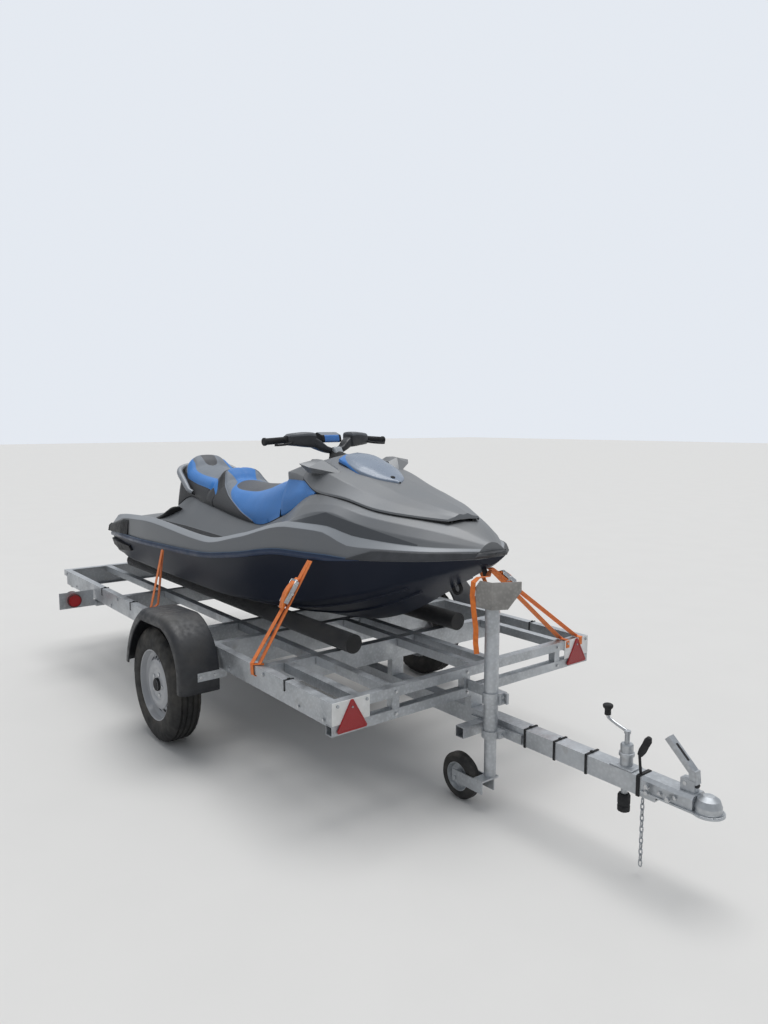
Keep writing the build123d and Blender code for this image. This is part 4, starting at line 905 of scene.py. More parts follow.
def thin_shell(name, rings, body, thickness, node):
    """A moulded sheet of a thickness, dressed like the hood."""
    obj = piece(name, sheet_mesh(name, rings), body, "deck", "hood")
    modifier(obj, "SOLIDIFY", thickness=thickness, offset=-1)
    bake(obj)
    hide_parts(node)


def make_hood():
    """Hood shell with its creases, thin like the real moulding, and the dark joint under its edge."""
    xs = spread(HOOD_SECTIONS[0][0], HOOD_SECTIONS[-1][0], 25)
    rings = [hood_ring(HOOD_SECTIONS, x, 0.008 * min(1, max(0, (x - 420) / 150))) for x in xs]
    last = rings[-1]
    for ahead, narrow, drop in ((0.003, 0.985, 0.35), (0.004, 0.98, 0.8)):
        rings.append([(x + ahead, y * narrow, z - drop * (z - HOOD_FOOT_Z)) for x, y, z in last])
    thin_shell("hood_shell", rings, "hood", 0.008, "hood")
    path = [(x / 1000, *section(HOOD_SECTIONS, x)[:2]) for x in xs]
    for side, word in SIDES:
        tube(f"hood_seal_{word}", [(x, side * (y - 0.004), z - 0.003) for x, y, z in path], 0.0045, *BLACK)


def make_cowl():
    """Cowl and boot round the foot of the steering column."""
    rings = []
    for x in spread(COVER_SECTIONS[0][0], COVER_SECTIONS[-1][0], 15):
        ring = hood_ring(COVER_SECTIONS, x)
        first, last = ([(x, y * 0.97, z - 0.032)] for x, y, z in (ring[0], ring[-1]))
        rings.append(first + ring + last)
    rear = [[(x - back, y * narrow, max(z - drop, 1.300)) for x, y, z in rings[0]] for back, narrow, drop in COWL_REAR]
    thin_shell("cowl", rear + rings, "root", 0.006, "column_cover")
    boot = [(0.064, 0.0), (0.060, 0.012), (0.046, 0.03), (0.036, 0.045), (0.030, 0.062)]
    turned("column_boot", boot, 32, COLUMN_AT, COLUMN_DIRECTION, *BLACK)


def make_screen():
    """The glossy screen, its gasket and a black dome at its tip, painted as the shade in the recess there."""

    def half(x):
        wide, low, high, shoulder_y, shoulder_z, middle = section(SCREEN_SECTIONS, x)
        edge = [(wide * 0.98, low - 0.004), (wide, low + 0.006), (wide * 0.97, high)]
        return edge + [(shoulder_y, shoulder_z), (0, middle)]

    xs = spread(262, 594, 12)
    rings = [[(x / 1000, y, z) for y, z in both_sides(rounded(half(x), (0.005, 0.008, 0.03), 4)[0])] for x in xs]
    rear = [(x - 0.008, y * 0.94, z - 0.004) for x, y, z in rings[0]]
    tip = [(x + 0.012, y * 0.3, z - 0.006) for x, y, z in rings[-1]]
    piece("screen", sheet_mesh("screen", [rear] + rings + [tip]), "hood", "visor", "visor", node="visor")
    for side, word in SIDES:
        path = [(x / 1000, side * half(x)[0][0], half(x)[0][1] + 0.004) for x in xs]
        tube(f"screen_gasket_{word}", path, 0.003, "hood", "black_plastic", "rubber", sides=8)
    # A black dome at the screen's tip: painted shade of the recess there
    recess_shade = [(0.0, 0.0), (0.011, 0.0), (0.012, 0.003), (0.007, 0.005), (0.0, 0.003)]
    at, direction = (0.566, -0.012, 1.337), (0.35, -0.1, 0.93)
    turned("screen_recess_shade", recess_shade, 16, at, direction, "hood", "black_plastic", "rubber")


# Handlebar: y, rear x, front x, low z and high z of the arms and pods
ARM_SECTIONS = ((0, 24, 76, 1434, 1464), (45, 16, 72, 1440, 1476), (85, -6, 64, 1454, 1508), (124, -24, 52, 1472, 1530))
POD_SECTIONS = (
    (112, -20, 50, 1478, 1536),
    (118, -34, 60, 1469, 1548),
    (150, -41, 56, 1471, 1551),
    (190, -44, 46, 1476, 1548),
    (240, -43, 26, 1481, 1542),
    (256, -38, 12, 1486, 1532),
)
GRIP_FROM, GRIP_TO = (-0.017, 0.255, 1.5105), (-0.017, 0.389, 1.502)
BUTTON = [(0.0085, 0.0), (0.0085, 0.003), (0.006, 0.005), (0.0, 0.0052)]
LEVER = (
    (0.018, 0.235, 1.498), (0.036, 0.262, 1.492), (0.046, 0.30, 1.488), (0.043, 0.335, 1.486), (0.034, 0.352, 1.487),
)
MOUNT = [(0.0, -0.012), (0.010, -0.012), (0.011, 0.0), (0.010, 0.012), (0.0, 0.012)]
PAD = [
    (-0.066, 1.512), (-0.058, 1.538), (-0.020, 1.5515), (0.030, 1.535), (0.038, 1.500), (0.020, 1.494), (-0.040, 1.500),
]
# The pad's sections: y and their share of the full size
PAD_WIDTHS = [(-0.0615, 0.93), (-0.058, 0.985), (-0.046, 1), (-0.030, 1), (-0.015, 1), (0.0, 1)]
PAD_WIDTHS += [(-y, share) for y, share in PAD_WIDTHS[-2::-1]]


def soft_loft(name, sections, ys, side, power):
    """A smooth form across the craft from (y, rear, front, low, high) rows."""
    rings = []
    for y in ys:
        rear, front, low, high = section(sections, y)
        ring = []
        for a in circle(28):
            c, d = (math.copysign(abs(v) ** power, v) for v in (math.cos(a), math.sin(a)))
            x, z = (rear + front) / 2 + (front - rear) / 2 * c, (low + high) / 2 + (high - low) / 2 * d
            ring.append((x, side * y / 1000, z))
        rings.append(ring)
    return solid_mesh(name, rings)


def make_bars():
    """Handlebar arms, switch pods with light tops, ribbed grips, levers, the bar pad and the column."""
    for side, word in SIDES:
        arm = soft_loft("bar_arm", ARM_SECTIONS, spread(0, 124, 8), side, 0.55)
        piece(f"bar_arm_{word}", arm, "steering", "grey_plastic", "pod_side", node="handlebar")
        ys = spread(112, 120, 2) + spread(128, 240, 8) + [246, 251, 256]
        pod = soft_loft("pod", POD_SECTIONS, ys, side, 0.42)
        for polygon in pod.polygons:
            polygon.material_index = 1 if polygon.center.z > 1.512 and polygon.normal.z > 0.15 else 0
        piece(f"pod_{word}", pod, "steering", "grey_plastic", "pod_side", "grey_plastic", node="switch_pods")
        for k, y in enumerate((0.168, 0.196, 0.222)):
            at = (-0.044 + 0.002 * k, side * y, 1.520 - 0.002 * k)
            look = "lamp_red" if (k, side) == (0, 1) else "rubber"
            turned(f"button_{word}_{k}", BUTTON, 20, at, (-1, 0, 0.25), "steering", "black_plastic", look)
        start, end = (Vector(point) for point in on_side((GRIP_FROM, GRIP_TO), side))
        length = (end - start).length
        profile = [(0.0, -0.03), (0.0125, -0.03), (0.0125, 0.0), (0.0205, 0.001), (0.0205, 0.007), (0.0168, 0.009)]
        for k in range(18):
            z = 0.012 + k * (length - 0.03) / 18
            profile += [(0.0162, z), (0.0172, z + 0.0016), (0.0172, z + 0.0042), (0.0162, z + 0.0058)]
        for r, back in ((0.0165, 0.016), (0.0205, 0.013), (0.0208, 0.003), (0.018, 0), (0.0, -0.001)):
            profile.append((r, length - back))
        turned(f"grip_{word}", profile, 28, start, end - start, "steering", "rubber", "rubber", node="grips")
        tube(f"lever_{word}", on_side(LEVER, side), 0.0058, *ON_BAR, sides=12, taper=(1.2, 1.05, 1.0, 1.0, 1.15))
        turned(f"lever_mount_{word}", MOUNT, 20, (0.014, side * 0.234, 1.497), UP, *ON_BAR)

    ring = rounded(PAD + PAD[:1], (0.006, 0.012, 0.010, 0.008, 0.006, 0.004))[0][:-1]
    rings = [[((x + 0.01) * size - 0.01, y, (z - 1.52) * size + 1.52) for x, z in ring] for y, size in PAD_WIDTHS]

    def index(r, c):
        x, z = ring[c]
        if z > 1.530 and x < 0.026:
            return 1
        return 2 if 2 <= r <= 7 and x > 0.026 else 0

    mesh = solid_mesh("bar_pad_cover", rings, index)
    piece("bar_pad_cover", mesh, *ON_BAR, "seat_wedge", "visor_edge", node="bar_pad")
    stem = [COLUMN_AT + COLUMN_DIRECTION * d for d in (-0.012, 0.02, 0.05, 0.08)]
    tube("column_stem", stem, 0.023, *ON_BAR, sides=24)
    block = box_mesh("column_block", (-0.020, -0.026, 0.0), (0.024, 0.026, 0.052))
    stand(block, COLUMN_AT + COLUMN_DIRECTION * 0.024 + Vector((0.016, 0, 0.006)), COLUMN_DIRECTION)
    obj = piece("column_block", block, "steering", "grey_plastic", "silver_plastic")
    modifier(obj, "BEVEL", width=0.008, segments=3)


MIRROR_REAR = ((0.212, 1.353), (0.262, 1.361), (0.270, 1.386), (0.237, 1.417))
# Share of the housing's rear face, front and rear x, and look
MIRROR_LAYERS = (("bezel", 0.94, (0.1985, 0.204), "rubber"), ("glass", 0.78, (0.1975, 0.2), "glass"))


def make_mirrors():
    """Mirror glass in its black bezel on each housing's rear end."""
    middle = sum((Vector(corner) for corner in MIRROR_REAR), Vector((0, 0))) / 4
    for side, word in SIDES:
        for name, share, xs, look in MIRROR_LAYERS:
            outline = [tuple(middle + (Vector(corner) - middle) * share) for corner in MIRROR_REAR]
            ring, _ = rounded(outline + outline[:1], (0.008, 0.006, 0.008), 4)
            rings = [[(x, side * y, z) for y, z in ring[:-1]] for x in xs]
            solid(f"mirror_{name}_{word}", rings, "hood", "deck", look)


LOOP_START, LOOP_CORNER, LOOP_MIDDLE = (-1.290, 0.232, 1.160), (-1.530, 0.205, 1.292), (-1.590, 0, 1.318)
CLEAT_X = (-1610, -1330)
CLEAT_SHAPE = ((-1, -0.2), (-0.9, 0.5), (-0.5, 0.95), (0, 1), (0.5, 0.95), (0.9, 0.5), (1, -0.2))


def make_stern_fittings():
    """Grab loop behind the saddle, and the cleats beside it."""
    start, corner, middle = (Vector(point) for point in (LOOP_START, LOOP_CORNER, LOOP_MIDDLE))
    first, last = (corner + (end - corner).normalized() * 0.085 for end in (start, middle))
    half = [start + Vector((0.022, -0.016, -0.012))] + [start.lerp(first, i / 8) for i in range(8)]
    for t in (i / 10 for i in range(11)):
        half.append(first * (1 - t) ** 2 + corner * (2 * t * (1 - t)) + last * t * t)
    half += [last.lerp(middle, i / 5) for i in range(1, 6)]
    path = [tuple(v) for v in half] + on_side(half[::-1], -1)[1:]
    taper = [min(1.0, 0.72 + 0.05 * min(i, len(path) - 1 - i)) for i in range(len(path))]
    tube("grab_loop", path, 0.0195, "root", "black_plastic", "band", sides=16, taper=taper, node="grab_rail")
    inner = [(x + 0.014, y * 0.955, z - 0.010) for x, y, z in path]
    tube("grab_loop_grip", inner, 0.013, *BLACK, sides=12, taper=taper)

    for side, word in SIDES:
        rings = []
        for x in spread(*CLEAT_X, 14):
            t = (x - CLEAT_X[0]) / (CLEAT_X[1] - CLEAT_X[0])
            s = station(x)
            edge, ridge = Vector((s.side_y, s.side_z)), Vector((s.shoulder_y, s.shoulder_z))
            slope = (ridge - edge).normalized()
            out = Vector((-slope.y, slope.x)) if slope.x > 0 else Vector((slope.y, -slope.x))
            centre = edge.lerp(ridge, 0.30 + 0.20 * t)
            wide, tall = 0.052 * (1 - t) + 0.006, 0.030 * math.sin(math.pi * min(1, 0.25 + 0.8 * (1 - t))) + 0.004
            spots = [centre + slope * (u * wide) + out * (v * tall) for u, v in CLEAT_SHAPE]
            rings.append([(x / 1000, side * spot.x, spot.y) for spot in spots])
        solid(f"cleat_{word}", rings, *BLACK)


# Trailer: the fenders' arch in the side view, and (depth below the arch, y) across it
FENDER_X = -0.165
ARCH = ((-345, 352), (-270, 532), (-110, 668), (150, 678), (318, 588), (380, 430), (378, 352))
FENDER_SECTION = (
    (0.012, 0.774), (0.002, 0.776), (0.0, 0.79), (0.0, 0.87), (0.0, 0.932),
    (0.004, 0.947), (0.013, 0.957), (0.026, 0.961), (0.046, 0.962), (0.049, 0.958),
)


def arc_through(start, middle, end, steps):
    """Points on the circle through three points in a plane, clockwise."""
    (ax, az), (bx, bz), (cx, cz) = start, middle, end
    d = 2 * (ax * (bz - cz) + bx * (cz - az) + cx * (az - bz))
    a, b, c = ax * ax + az * az, bx * bx + bz * bz, cx * cx + cz * cz
    ux = (a * (bz - cz) + b * (cz - az) + c * (az - bz)) / d
    uz = (a * (cx - bx) + b * (ax - cx) + c * (bx - ax)) / d
    first, last = math.atan2(az - uz, ax - ux), math.atan2(cz - uz, cx - ux)
    if last > first:
        last -= 2 * math.pi
    radius = math.hypot(ax - ux, az - uz)
    angles = [first + (last - first) * i / steps for i in range(steps + 1)]
    return [(ux + radius * math.cos(angle), uz + radius * math.sin(angle)) for angle in angles]


def make_fenders():
    """Moulded fenders with a rolled outer edge."""
    arch = [(FENDER_X + x / 1000, z / 1000) for x, z in ARCH]
    path = arc_through(*arch[:3], 14) + between(arch[2], arch[3], 8)[1:-1]
    path += arc_through(*arch[3:6], 14) + between(arch[5], arch[6], 3)[1:]
    for side, word in SIDES:
        rings = []
        for i, (x, z) in enumerate(path):
            along = (Vector(path[min(i + 1, len(path) - 1)]) - Vector(path[max(i - 1, 0)])).normalized()
            rings.append([(x + along.y * depth, side * y, z - along.x * depth) for depth, y in FENDER_SECTION])
        for end in (0, -1):
            rings[end] = [(x, y, max(z, path[end][1])) for x, y, z in rings[end]]
        mesh = sheet_mesh("fender", rings)
        obj = piece(f"fender_{word}_skin", mesh, "root", "black_plastic", "fender", node=f"fender_{word}")
        modifier(obj, "SOLIDIFY", thickness=0.004, offset=-side)


AXLE = Vector((-0.210, 0, 0.289))
WHEEL_Y = 0.862
TYRE_SEGMENTS = 168
TREAD_R = 0.2885
GROOVES = (-0.040, -0.014, 0.014, 0.040)
# Across the tyre and from its middle, down one side
TYRE_PROFILE = (
    (-0.062, 0.178), (-0.070, 0.183), (-0.0735, 0.192), (-0.0755, 0.205), (-0.076, 0.225), (-0.0745, 0.243),
    (-0.070, 0.258), (-0.0635, 0.272), (-0.057, 0.2815), (-0.0485, 0.2865),
)
# Black dome in the wheel's middle: painted shade of the open hub bore
HUB_BORE_SHADE = [(0.033, 0.0), (0.033, 0.010), (0.029, 0.014), (0.012, 0.0155), (0.0, 0.0158)]
DISC = [
    (0.037, 0.0335), (0.038, 0.0362), (0.060, 0.0366), (0.067, 0.0385), (0.078, 0.0470), (0.088, 0.0510),
    (0.098, 0.0515), (0.108, 0.0495), (0.116, 0.0465), (0.124, 0.0450), (0.125, 0.0440),
]
# Dark ovals over the vent slots: painted shade seen through them
SLOT = [(0.0085, -0.001), (0.0085, 0.0006), (0.0, 0.0008)]
SLOT_LEAN = (0.569, 0.823)


def on_wheel(side, out, radius, angle):
    """A point of a wheel: out from its middle plane, at a radius and an angle from the top."""
    return AXLE.x + radius * math.sin(angle), side * (WHEEL_Y + out), AXLE.z + radius * math.cos(angle)


def make_tyre(word, side):
    """Road tyre with rim protector, shoulder lugs and tread grooves."""
    profile = list(TYRE_PROFILE)
    for groove in GROOVES:
        for across, radius in ((-0.0055, TREAD_R), (-0.0035, 0.2810), (0.0035, 0.2810), (0.0055, TREAD_R)):
            profile.append((groove + across, radius))
    profile += [(-y, r) for y, r in TYRE_PROFILE[::-1]]
    rings = []
    for k, a in enumerate(circle(TYRE_SEGMENTS)):
        ring = []
        for y, r in profile:
            if k % 4 == 0 and 0.047 < abs(y) < 0.066:
                r -= 0.004
            if k % 3 == 0 and r >= TREAD_R and abs(y) < 0.047:
                r -= 0.0016
            ring.append(on_wheel(side, side * y, r, a))
        rings.append(ring)
    mesh = sheet_mesh("tread", rings + rings[:1])
    smooth(mesh, 38)
    piece(f"tyre_{word}_tread", mesh, f"wheel_{word}", "tyre", "tyre", node=f"tyre_{word}")


def bolts(name, spots, *rest):
    """Hexagon heads on their washers, as one piece; a spot is a point, a direction and a size."""
    heads = []
    for at, direction, size in spots:
        shape = ((0.0, 0.0), (1.25, 0.0), (1.25, 0.22), (1, 0.22), (1, 0.85), (0.85, 1), (0.0, 1))
        heads.append(lathe_mesh("bolt", [(r * size, h * size) for r, h in shape], 6, at, direction))
    piece(name, joined(name, heads), *rest)


def make_wheel_details(word, side):
    """Wheel bolts, a black dome painted as the shade in the open hub bore, the disc's crest, dark ovals painted as the
    shade in the slots, the rim's rolled edge and the valve.
    """
    body, out = f"wheel_{word}", (0, side, 0)
    spots = [(on_wheel(side, 0.0372, 0.056, a + 0.3), out, 0.011) for a in circle(5)]
    bolts(f"wheel_bolts_{word}", spots, body, "steel", "steel")
    # A black dome painted as the shade in the open hub bore
    turned(f"hub_bore_shade_{word}", HUB_BORE_SHADE, 32, on_wheel(side, 0.0445, 0, 0), out, body, "black_plastic", "rubber")
    turned(f"wheel_disc_{word}", DISC, 72, on_wheel(side, 0, 0, 0), out, body, "wheel_steel", "wheel_steel")
    # Dark ovals over the vent slots, painted shade seen through them
    slot_shades = []
    for a in circle(15):
        a += math.pi / 15
        lean = (SLOT_LEAN[0] * math.sin(a), side * SLOT_LEAN[1], SLOT_LEAN[0] * math.cos(a))
        slot_shades.append(lathe_mesh("slot", SLOT, 16, on_wheel(side, 0.0359, 0.1365, a), lean, (0.8, 1.4)))
    piece(f"wheel_slot_shades_{word}", joined("slot_shades", slot_shades), body, "rubber", "rubber")
    lip = [on_wheel(side, 0.0625, 0.1775, 2 * math.pi * k / 96) for k in range(97)]
    tube(f"rim_edge_{word}", lip, 0.0042, body, "wheel_steel", "wheel_steel", sides=8)
    valve = [on_wheel(side, up, r, math.pi / 2) for up, r in ((0.034, 0.16), (0.054, 0.150))]
    tube(f"valve_{word}", valve, 0.0035, body, "rubber", "rubber", sides=8)


# Straps: their ends as (from the craft, to the rail), for the port side
STRAP_WIDTH = 0.026
STRAP_THICKNESS = 0.0032
FRONT_STRAPS = (((0.560, 0.490, 0.984), (0.532, 0.772, 0.556)), ((0.574, 0.489, 0.984), (0.556, 0.748, 0.556)))
REAR_STRAPS = (((-0.784, 0.630, 0.872), (-0.768, 0.712, 0.556)), ((-0.780, 0.628, 0.872), (-0.790, 0.664, 0.556)))
BOW_STRAPS = (((1.188, 0.020, 0.984), (1.100, 0.604, 0.556)), ((1.194, 0.022, 0.982), (1.118, 0.700, 0.556)))
WEB_SHAPE = ((-1, -0.4), (-0.94, -1), (0, -1.1), (0.94, -1), (1, -0.4))
WEB_SHAPE += tuple((-u, -v) for u, v in WEB_SHAPE)
RAIL_INNER_Y = 0.7265
FRONT_TURN = (
    (0.532, 0.773, 0.560), (0.534, 0.7735, 0.53), (0.537, 0.7735, 0.508), (0.541, 0.766, 0.5045),
    (0.545, 0.750, 0.5045),
)
FRONT_OVER = ((0.530, 0.772, 0.5545), (0.54, 0.765, 0.5545), (0.556, 0.745, 0.5545), (0.562, 0.73, 0.553))
TAIL = (
    (1.196, 0.012, 0.975), (1.225, -0.03, 0.958), (1.258, -0.075, 0.969), (1.262, -0.125, 0.972),
    (1.256, -0.146, 0.955), (1.252, -0.147, 0.90), (1.258, -0.143, 0.83), (1.266, -0.138, 0.76),
    (1.262, -0.135, 0.70), (1.268, -0.133, 0.655),
)
RATCHET_PLATES = (
    ((-0.062, -0.022, -0.008), (0.05, -0.019, 0.016)),
    ((-0.062, 0.019, -0.008), (0.05, 0.022, 0.016)),
    ((-0.066, -0.022, 0.004), (-0.054, 0.022, 0.012)),
)
RATCHET_WRAP = ((-0.075, -0.002), (-0.05, 0.010), (-0.02, 0.018), (0.01, 0.019), (0.04, 0.012), (0.075, -0.001))


def ribbon(name, path, across, width=STRAP_WIDTH, thickness=STRAP_THICKNESS, look="strap", node=None):
    """Webbing of an oblong section along a path; across is its width's direction at each point, or at all."""
    points = [Vector(point) for point in path]
    rings = []
    for i, point in enumerate(points):
        ahead = (points[min(i + 1, len(points) - 1)] - points[max(i - 1, 0)]).normalized()
        wide = Vector(across[i] if isinstance(across, list) else across)
        wide = (wide - ahead * wide.dot(ahead)).normalized()
        thick = ahead.cross(wide)
        rings.append([tuple(point + wide * (u * width / 2) + thick * (v * thickness / 2)) for u, v in WEB_SHAPE])
    solid(name, rings, "root", "strap", look, node=node)


def ratchet(name, start, end, share, across):
    """A strap tensioner: side plates, spool and handle under a fold of webbing."""
    start, end = Vector(start), Vector(end)
    along = (end - start).normalized()
    at = start.lerp(end, share)
    wide = Vector(across)
    wide = (wide - along * wide.dot(along)).normalized()
    up = along.cross(wide)
    if up.y * at.y < 0:
        up = -up
    place = Matrix.Translation(at + up * 0.006) @ Matrix((along, wide, up)).transposed().to_4x4()
    parts = [box_mesh("plate", low, high) for low, high in RATCHET_PLATES]
    spool = lathe_mesh("spool", [(0.009, -0.026), (0.009, 0.026)], 16)
    spool.transform(Matrix.Rotation(math.pi / 2, 4, "X"))
    for mesh in parts + [spool]:
        mesh.transform(place)
    modifier(piece(f"{name}_frame", joined("frame", parts + [spool]), *STEEL), "BEVEL", width=0.0015, segments=1)
    ribbon(f"{name}_wrap", [place @ Vector((x, 0, z)) for x, z in RATCHET_WRAP], wide, 0.034, 0.009)


def make_straps():
    """Orange lashing straps: doubled webbing, tensioners, and the turns round the rails."""
    for group, rows in (("front", FRONT_STRAPS), ("rear", REAR_STRAPS)):
        for side, word in SIDES:
            for k, ends in enumerate(rows):
                path = between(*on_side(ends, side), 10)
                node = "straps" if (group, side, k) == ("front", 1, 0) else None
                ribbon(f"strap_{group}_{word}_{k}", path, (1, 0.05 * k, 0.2 * k), node=node)
            if group == "rear":
                for k, (_, (x, y, z)) in enumerate(rows):
                    turn = [(y, z + 0.004), (y + 0.25 * (0.727 - y), 0.545), (y + 0.8 * (0.727 - y), 0.532)]
                    turn += [(RAIL_INNER_Y, 0.522), (RAIL_INNER_Y, 0.485)]
                    ribbon(f"strap_rear_turn_{word}_{k}", [(x, side * b, c) for b, c in turn], (1, 0, 0))
            else:
                ratchet(f"ratchet_{word}", *on_side(rows[0], side), 0.33, (1, 0, 0))
                ribbon(f"strap_turn_{word}", on_side(FRONT_TURN, side), (1, 0, 0))
                ribbon(f"strap_over_{word}", on_side(FRONT_OVER, side), (1, 0.6 * side, 0), 0.02, 0.004)
    for k, (start, end) in enumerate(BOW_STRAPS):
        ribbon(f"strap_bow_{k}", between(start, end, 14), (0.9, 0, 0.5))
        x, y, z = end
        turn = [(x, y, z + 0.004), (x + 0.01, y + 0.004, 0.5535), (x + 0.035, y + 0.006, 0.5535)]
        turn += [(1.1435, y + 0.008, 0.549), (1.1445, y + 0.008, 0.515)]
        ribbon(f"strap_bow_turn_{k}", turn, (0, 1, 0))
    ratchet("ratchet_bow", *BOW_STRAPS[1], 0.16, (0.9, 0, 0.5))
    ribbon("strap_tail", TAIL, [(1, 0.1 * k, 0.1) for k in range(len(TAIL))], 0.022, 0.003)


# Reflectors and lamps, for the port side
REFLECTOR_Y = 0.677
REFLECTOR_CORNERS = ((-0.075, 0.429), (0.075, 0.429), (0.0, 0.559))
# x and share of the full outline, from the back to the middle of the face
REFLECTOR_LAYERS = ((1.1441, 1.0), (1.1500, 1.0), (1.1512, 0.975), (1.1512, 0.86), (1.1498, 0.85), (1.1498, 0.02))
LAMP_BOARD_X = -1.620
# Facing, x, radius and name of the lamps' rims
LAMP_RIMS = ((-1, -1.665, 0.050, "rear"), (1, -1.590, 0.042, "front"))
RIM_SHAPE = ((0.001, -0.016), (0.0014, -0.002), (-0.002, 0.0004), (-0.005, 0.0), (-0.006, -0.002))


def make_reflectors():
    """White plates with red triangular reflectors, raised borders and their screws, and the lamps' rims."""
    screws = []
    for side, word in SIDES:
        y = side * REFLECTOR_Y
        low, high = sorted((side * 0.590, side * 0.768))
        plate = ("root", "zinc", "white_plate")
        boxed(f"reflector_plate_{word}", (1.1412, low, 0.462), (1.1442, high, 0.552), 0.0012, *plate, node="reflectors")
        corners = [Vector((y + dy, z)) for dy, z in REFLECTOR_CORNERS]
        middle = Vector((y, 0.4725))
        edge = [corners[k].lerp(corners[(k + 1) % 3], t) for k in range(3) for t in (0.06, 0.35, 0.65, 0.94)]
        rings = [[(x, *(middle + (point - middle) * share)) for point in edge] for x, share in REFLECTOR_LAYERS]
        solid(f"reflector_{word}", rings, "root", "lamp_red", "reflector")
        screws += [((1.1442, y + dy, 0.536), (1, 0, 0), 0.006) for dy in (-0.066, 0.072)]
        screws.append(((1.1497, y, 0.522), (1, 0, 0), 0.0035))
    bolts("reflector_screws", screws, *ZINC)
    for side, word in SIDES:
        for facing, x, r, tag in LAMP_RIMS:
            rim = [(r + grow, up) for grow, up in RIM_SHAPE]
            turned(f"lamp_rim_{word}_{tag}", rim, 40, (x, side * 0.897, 0.462), (facing, 0, 0), *BLACK)


def make_bolts():
    """Bolts and nuts where the frame's members meet."""
    spots = []
    for side in (-1, 1):
        spots += [((x, side * 0.7681, 0.53), (0, side, 0), 0.008) for x in (-2.20, -1.165, -0.175, 0.117, 0.625)]
        spots += [((x, side * 0.762, 0.470), (0, side, 0), 0.007) for x in (-2.0, -1.3, -0.6, 0.3, 0.9, 1.08)]
        for x, y, facing, size in (
            (FENDER_X + 0.386, 0.872, 1, 0.008),
            (FENDER_X + 0.386, 0.80, 1, 0.007),
            (FENDER_X - 0.337, 0.872, -1, 0.008),
            (LAMP_BOARD_X - 0.002, 0.80, -1, 0.006),
            (LAMP_BOARD_X + 0.002, 0.80, 1, 0.006),
            (LAMP_BOARD_X + 0.002, 0.955, 1, 0.006),
        ):
            spots.append(((x, side * y, 0.43), (facing, 0, 0), size))
    spots += [((1.1412, y, z), (1, 0, 0), 0.007) for y in (-0.456, -0.06, 0.54) for z in (0.530, 0.440)]
    spots += [((x, -0.0545, z), (0, -1, 0), 0.009) for x, z in ((2.02, 0.328), (2.10, 0.336), (2.02, 0.350))]
    for z in (0.462, 0.484, 0.318):
        spots += [((x, y, z), (0, -1, 0), 0.008) for x, y in ((1.2665, -0.071), (1.355, -0.0655))]
    bolts("frame_bolts", spots, *STEEL)


# Ties: the middle of the tube, its half size and the tie's width
TIES = [((x, 0, 0.329), 0.0365, 0.009) for x in (1.45, 1.60, 1.75)]
RAIL_TIES = ((0.80, -0.748), (-0.95, -0.748), (0.80, 0.748), (-1.45, 0.748), (-1.45, -0.748))
TIES += [((x, y, 0.53), 0.0215, 0.006) for x, y in RAIL_TIES]


def make_ties():
    """Black cable ties round the tubes."""
    meshes = []
    for (x, y, z), half, wide in TIES:
        rings = []
        for dx, grow in ((-wide / 2, 0.0), (-wide / 2, 0.0022), (wide / 2, 0.0022), (wide / 2, 0.0)):
            size = half + grow
            rings.append([(x + dx, y + a * size, z + b * size) for a, b in ((1, 1), (-1, 1), (-1, -1), (1, -1))])
        meshes.append(sheet_mesh("tie", rings, closed=True))
        low, high = (x - wide * 0.6, y - 0.006, z + half), (x + wide * 0.6, y + 0.006, z + half + 0.006)
        meshes.append(box_mesh("tie_head", low, high))
    piece("cable_ties", joined("cable_ties", meshes), *RUBBER)


# The screw's column, crank and foot, and the black handle beside it
SCREW_X, KNOB_X, FOOT_X = 1.900, 1.814, 1.895
COLUMN = [
    (0.031, 0.364), (0.031, 0.370), (0.023, 0.372), (0.023, 0.405), (0.028, 0.407), (0.028, 0.418), (0.023, 0.420),
    (0.023, 0.447), (0.020, 0.451), (0.010, 0.452), (0.0092, 0.456), (0.0092, 0.488), (0.012, 0.489), (0.012, 0.499),
    (0.0, 0.501),
]
CRANK = (
    (SCREW_X, 0, 0.486), (1.899, 0, 0.4925), (1.893, 0, 0.4975), (1.86, 0, 0.507),
    (1.83, 0, 0.517), (1.818, 0, 0.523), (1.8142, 0, 0.53), (KNOB_X, 0, 0.56),
)
KNOB = [
    (0.009, 0.532), (0.012, 0.533), (0.0115, 0.549), (0.0125, 0.555), (0.0175, 0.560), (0.019, 0.565),
    (0.0185, 0.570), (0.015, 0.573), (0.0, 0.574),
]
FOOT = [
    (0.018, 0.194), (0.0225, 0.197), (0.023, 0.215), (0.021, 0.217), (0.021, 0.222), (0.023, 0.224), (0.023, 0.254),
    (0.019, 0.261), (0.010, 0.262),
]
BAND = (
    (0.0375, 0.366), (0.0375, 0.2925), (-0.0375, 0.2925), (-0.0375, 0.366), (-0.030, 0.3675), (0.030, 0.3675),
    (0.0375, 0.366),
)
HANDLE = ((1.973, -0.020, 0.366), (1.970, -0.022, 0.40), (1.968, -0.024, 0.432), (1.972, -0.0236, 0.448))
HANDLE_GRIP = (
    (1.969, -0.0238, 0.438), (1.978, -0.023, 0.456), (1.988, -0.022, 0.478), (1.997, -0.021, 0.498),
    (2.002, -0.020, 0.511),
)
CHAIN_AT = (1.984, -0.020)
CHAIN_TOP, LINK_PITCH, LINKS = 0.272, 0.021, 12
WIRE_R = 0.0027


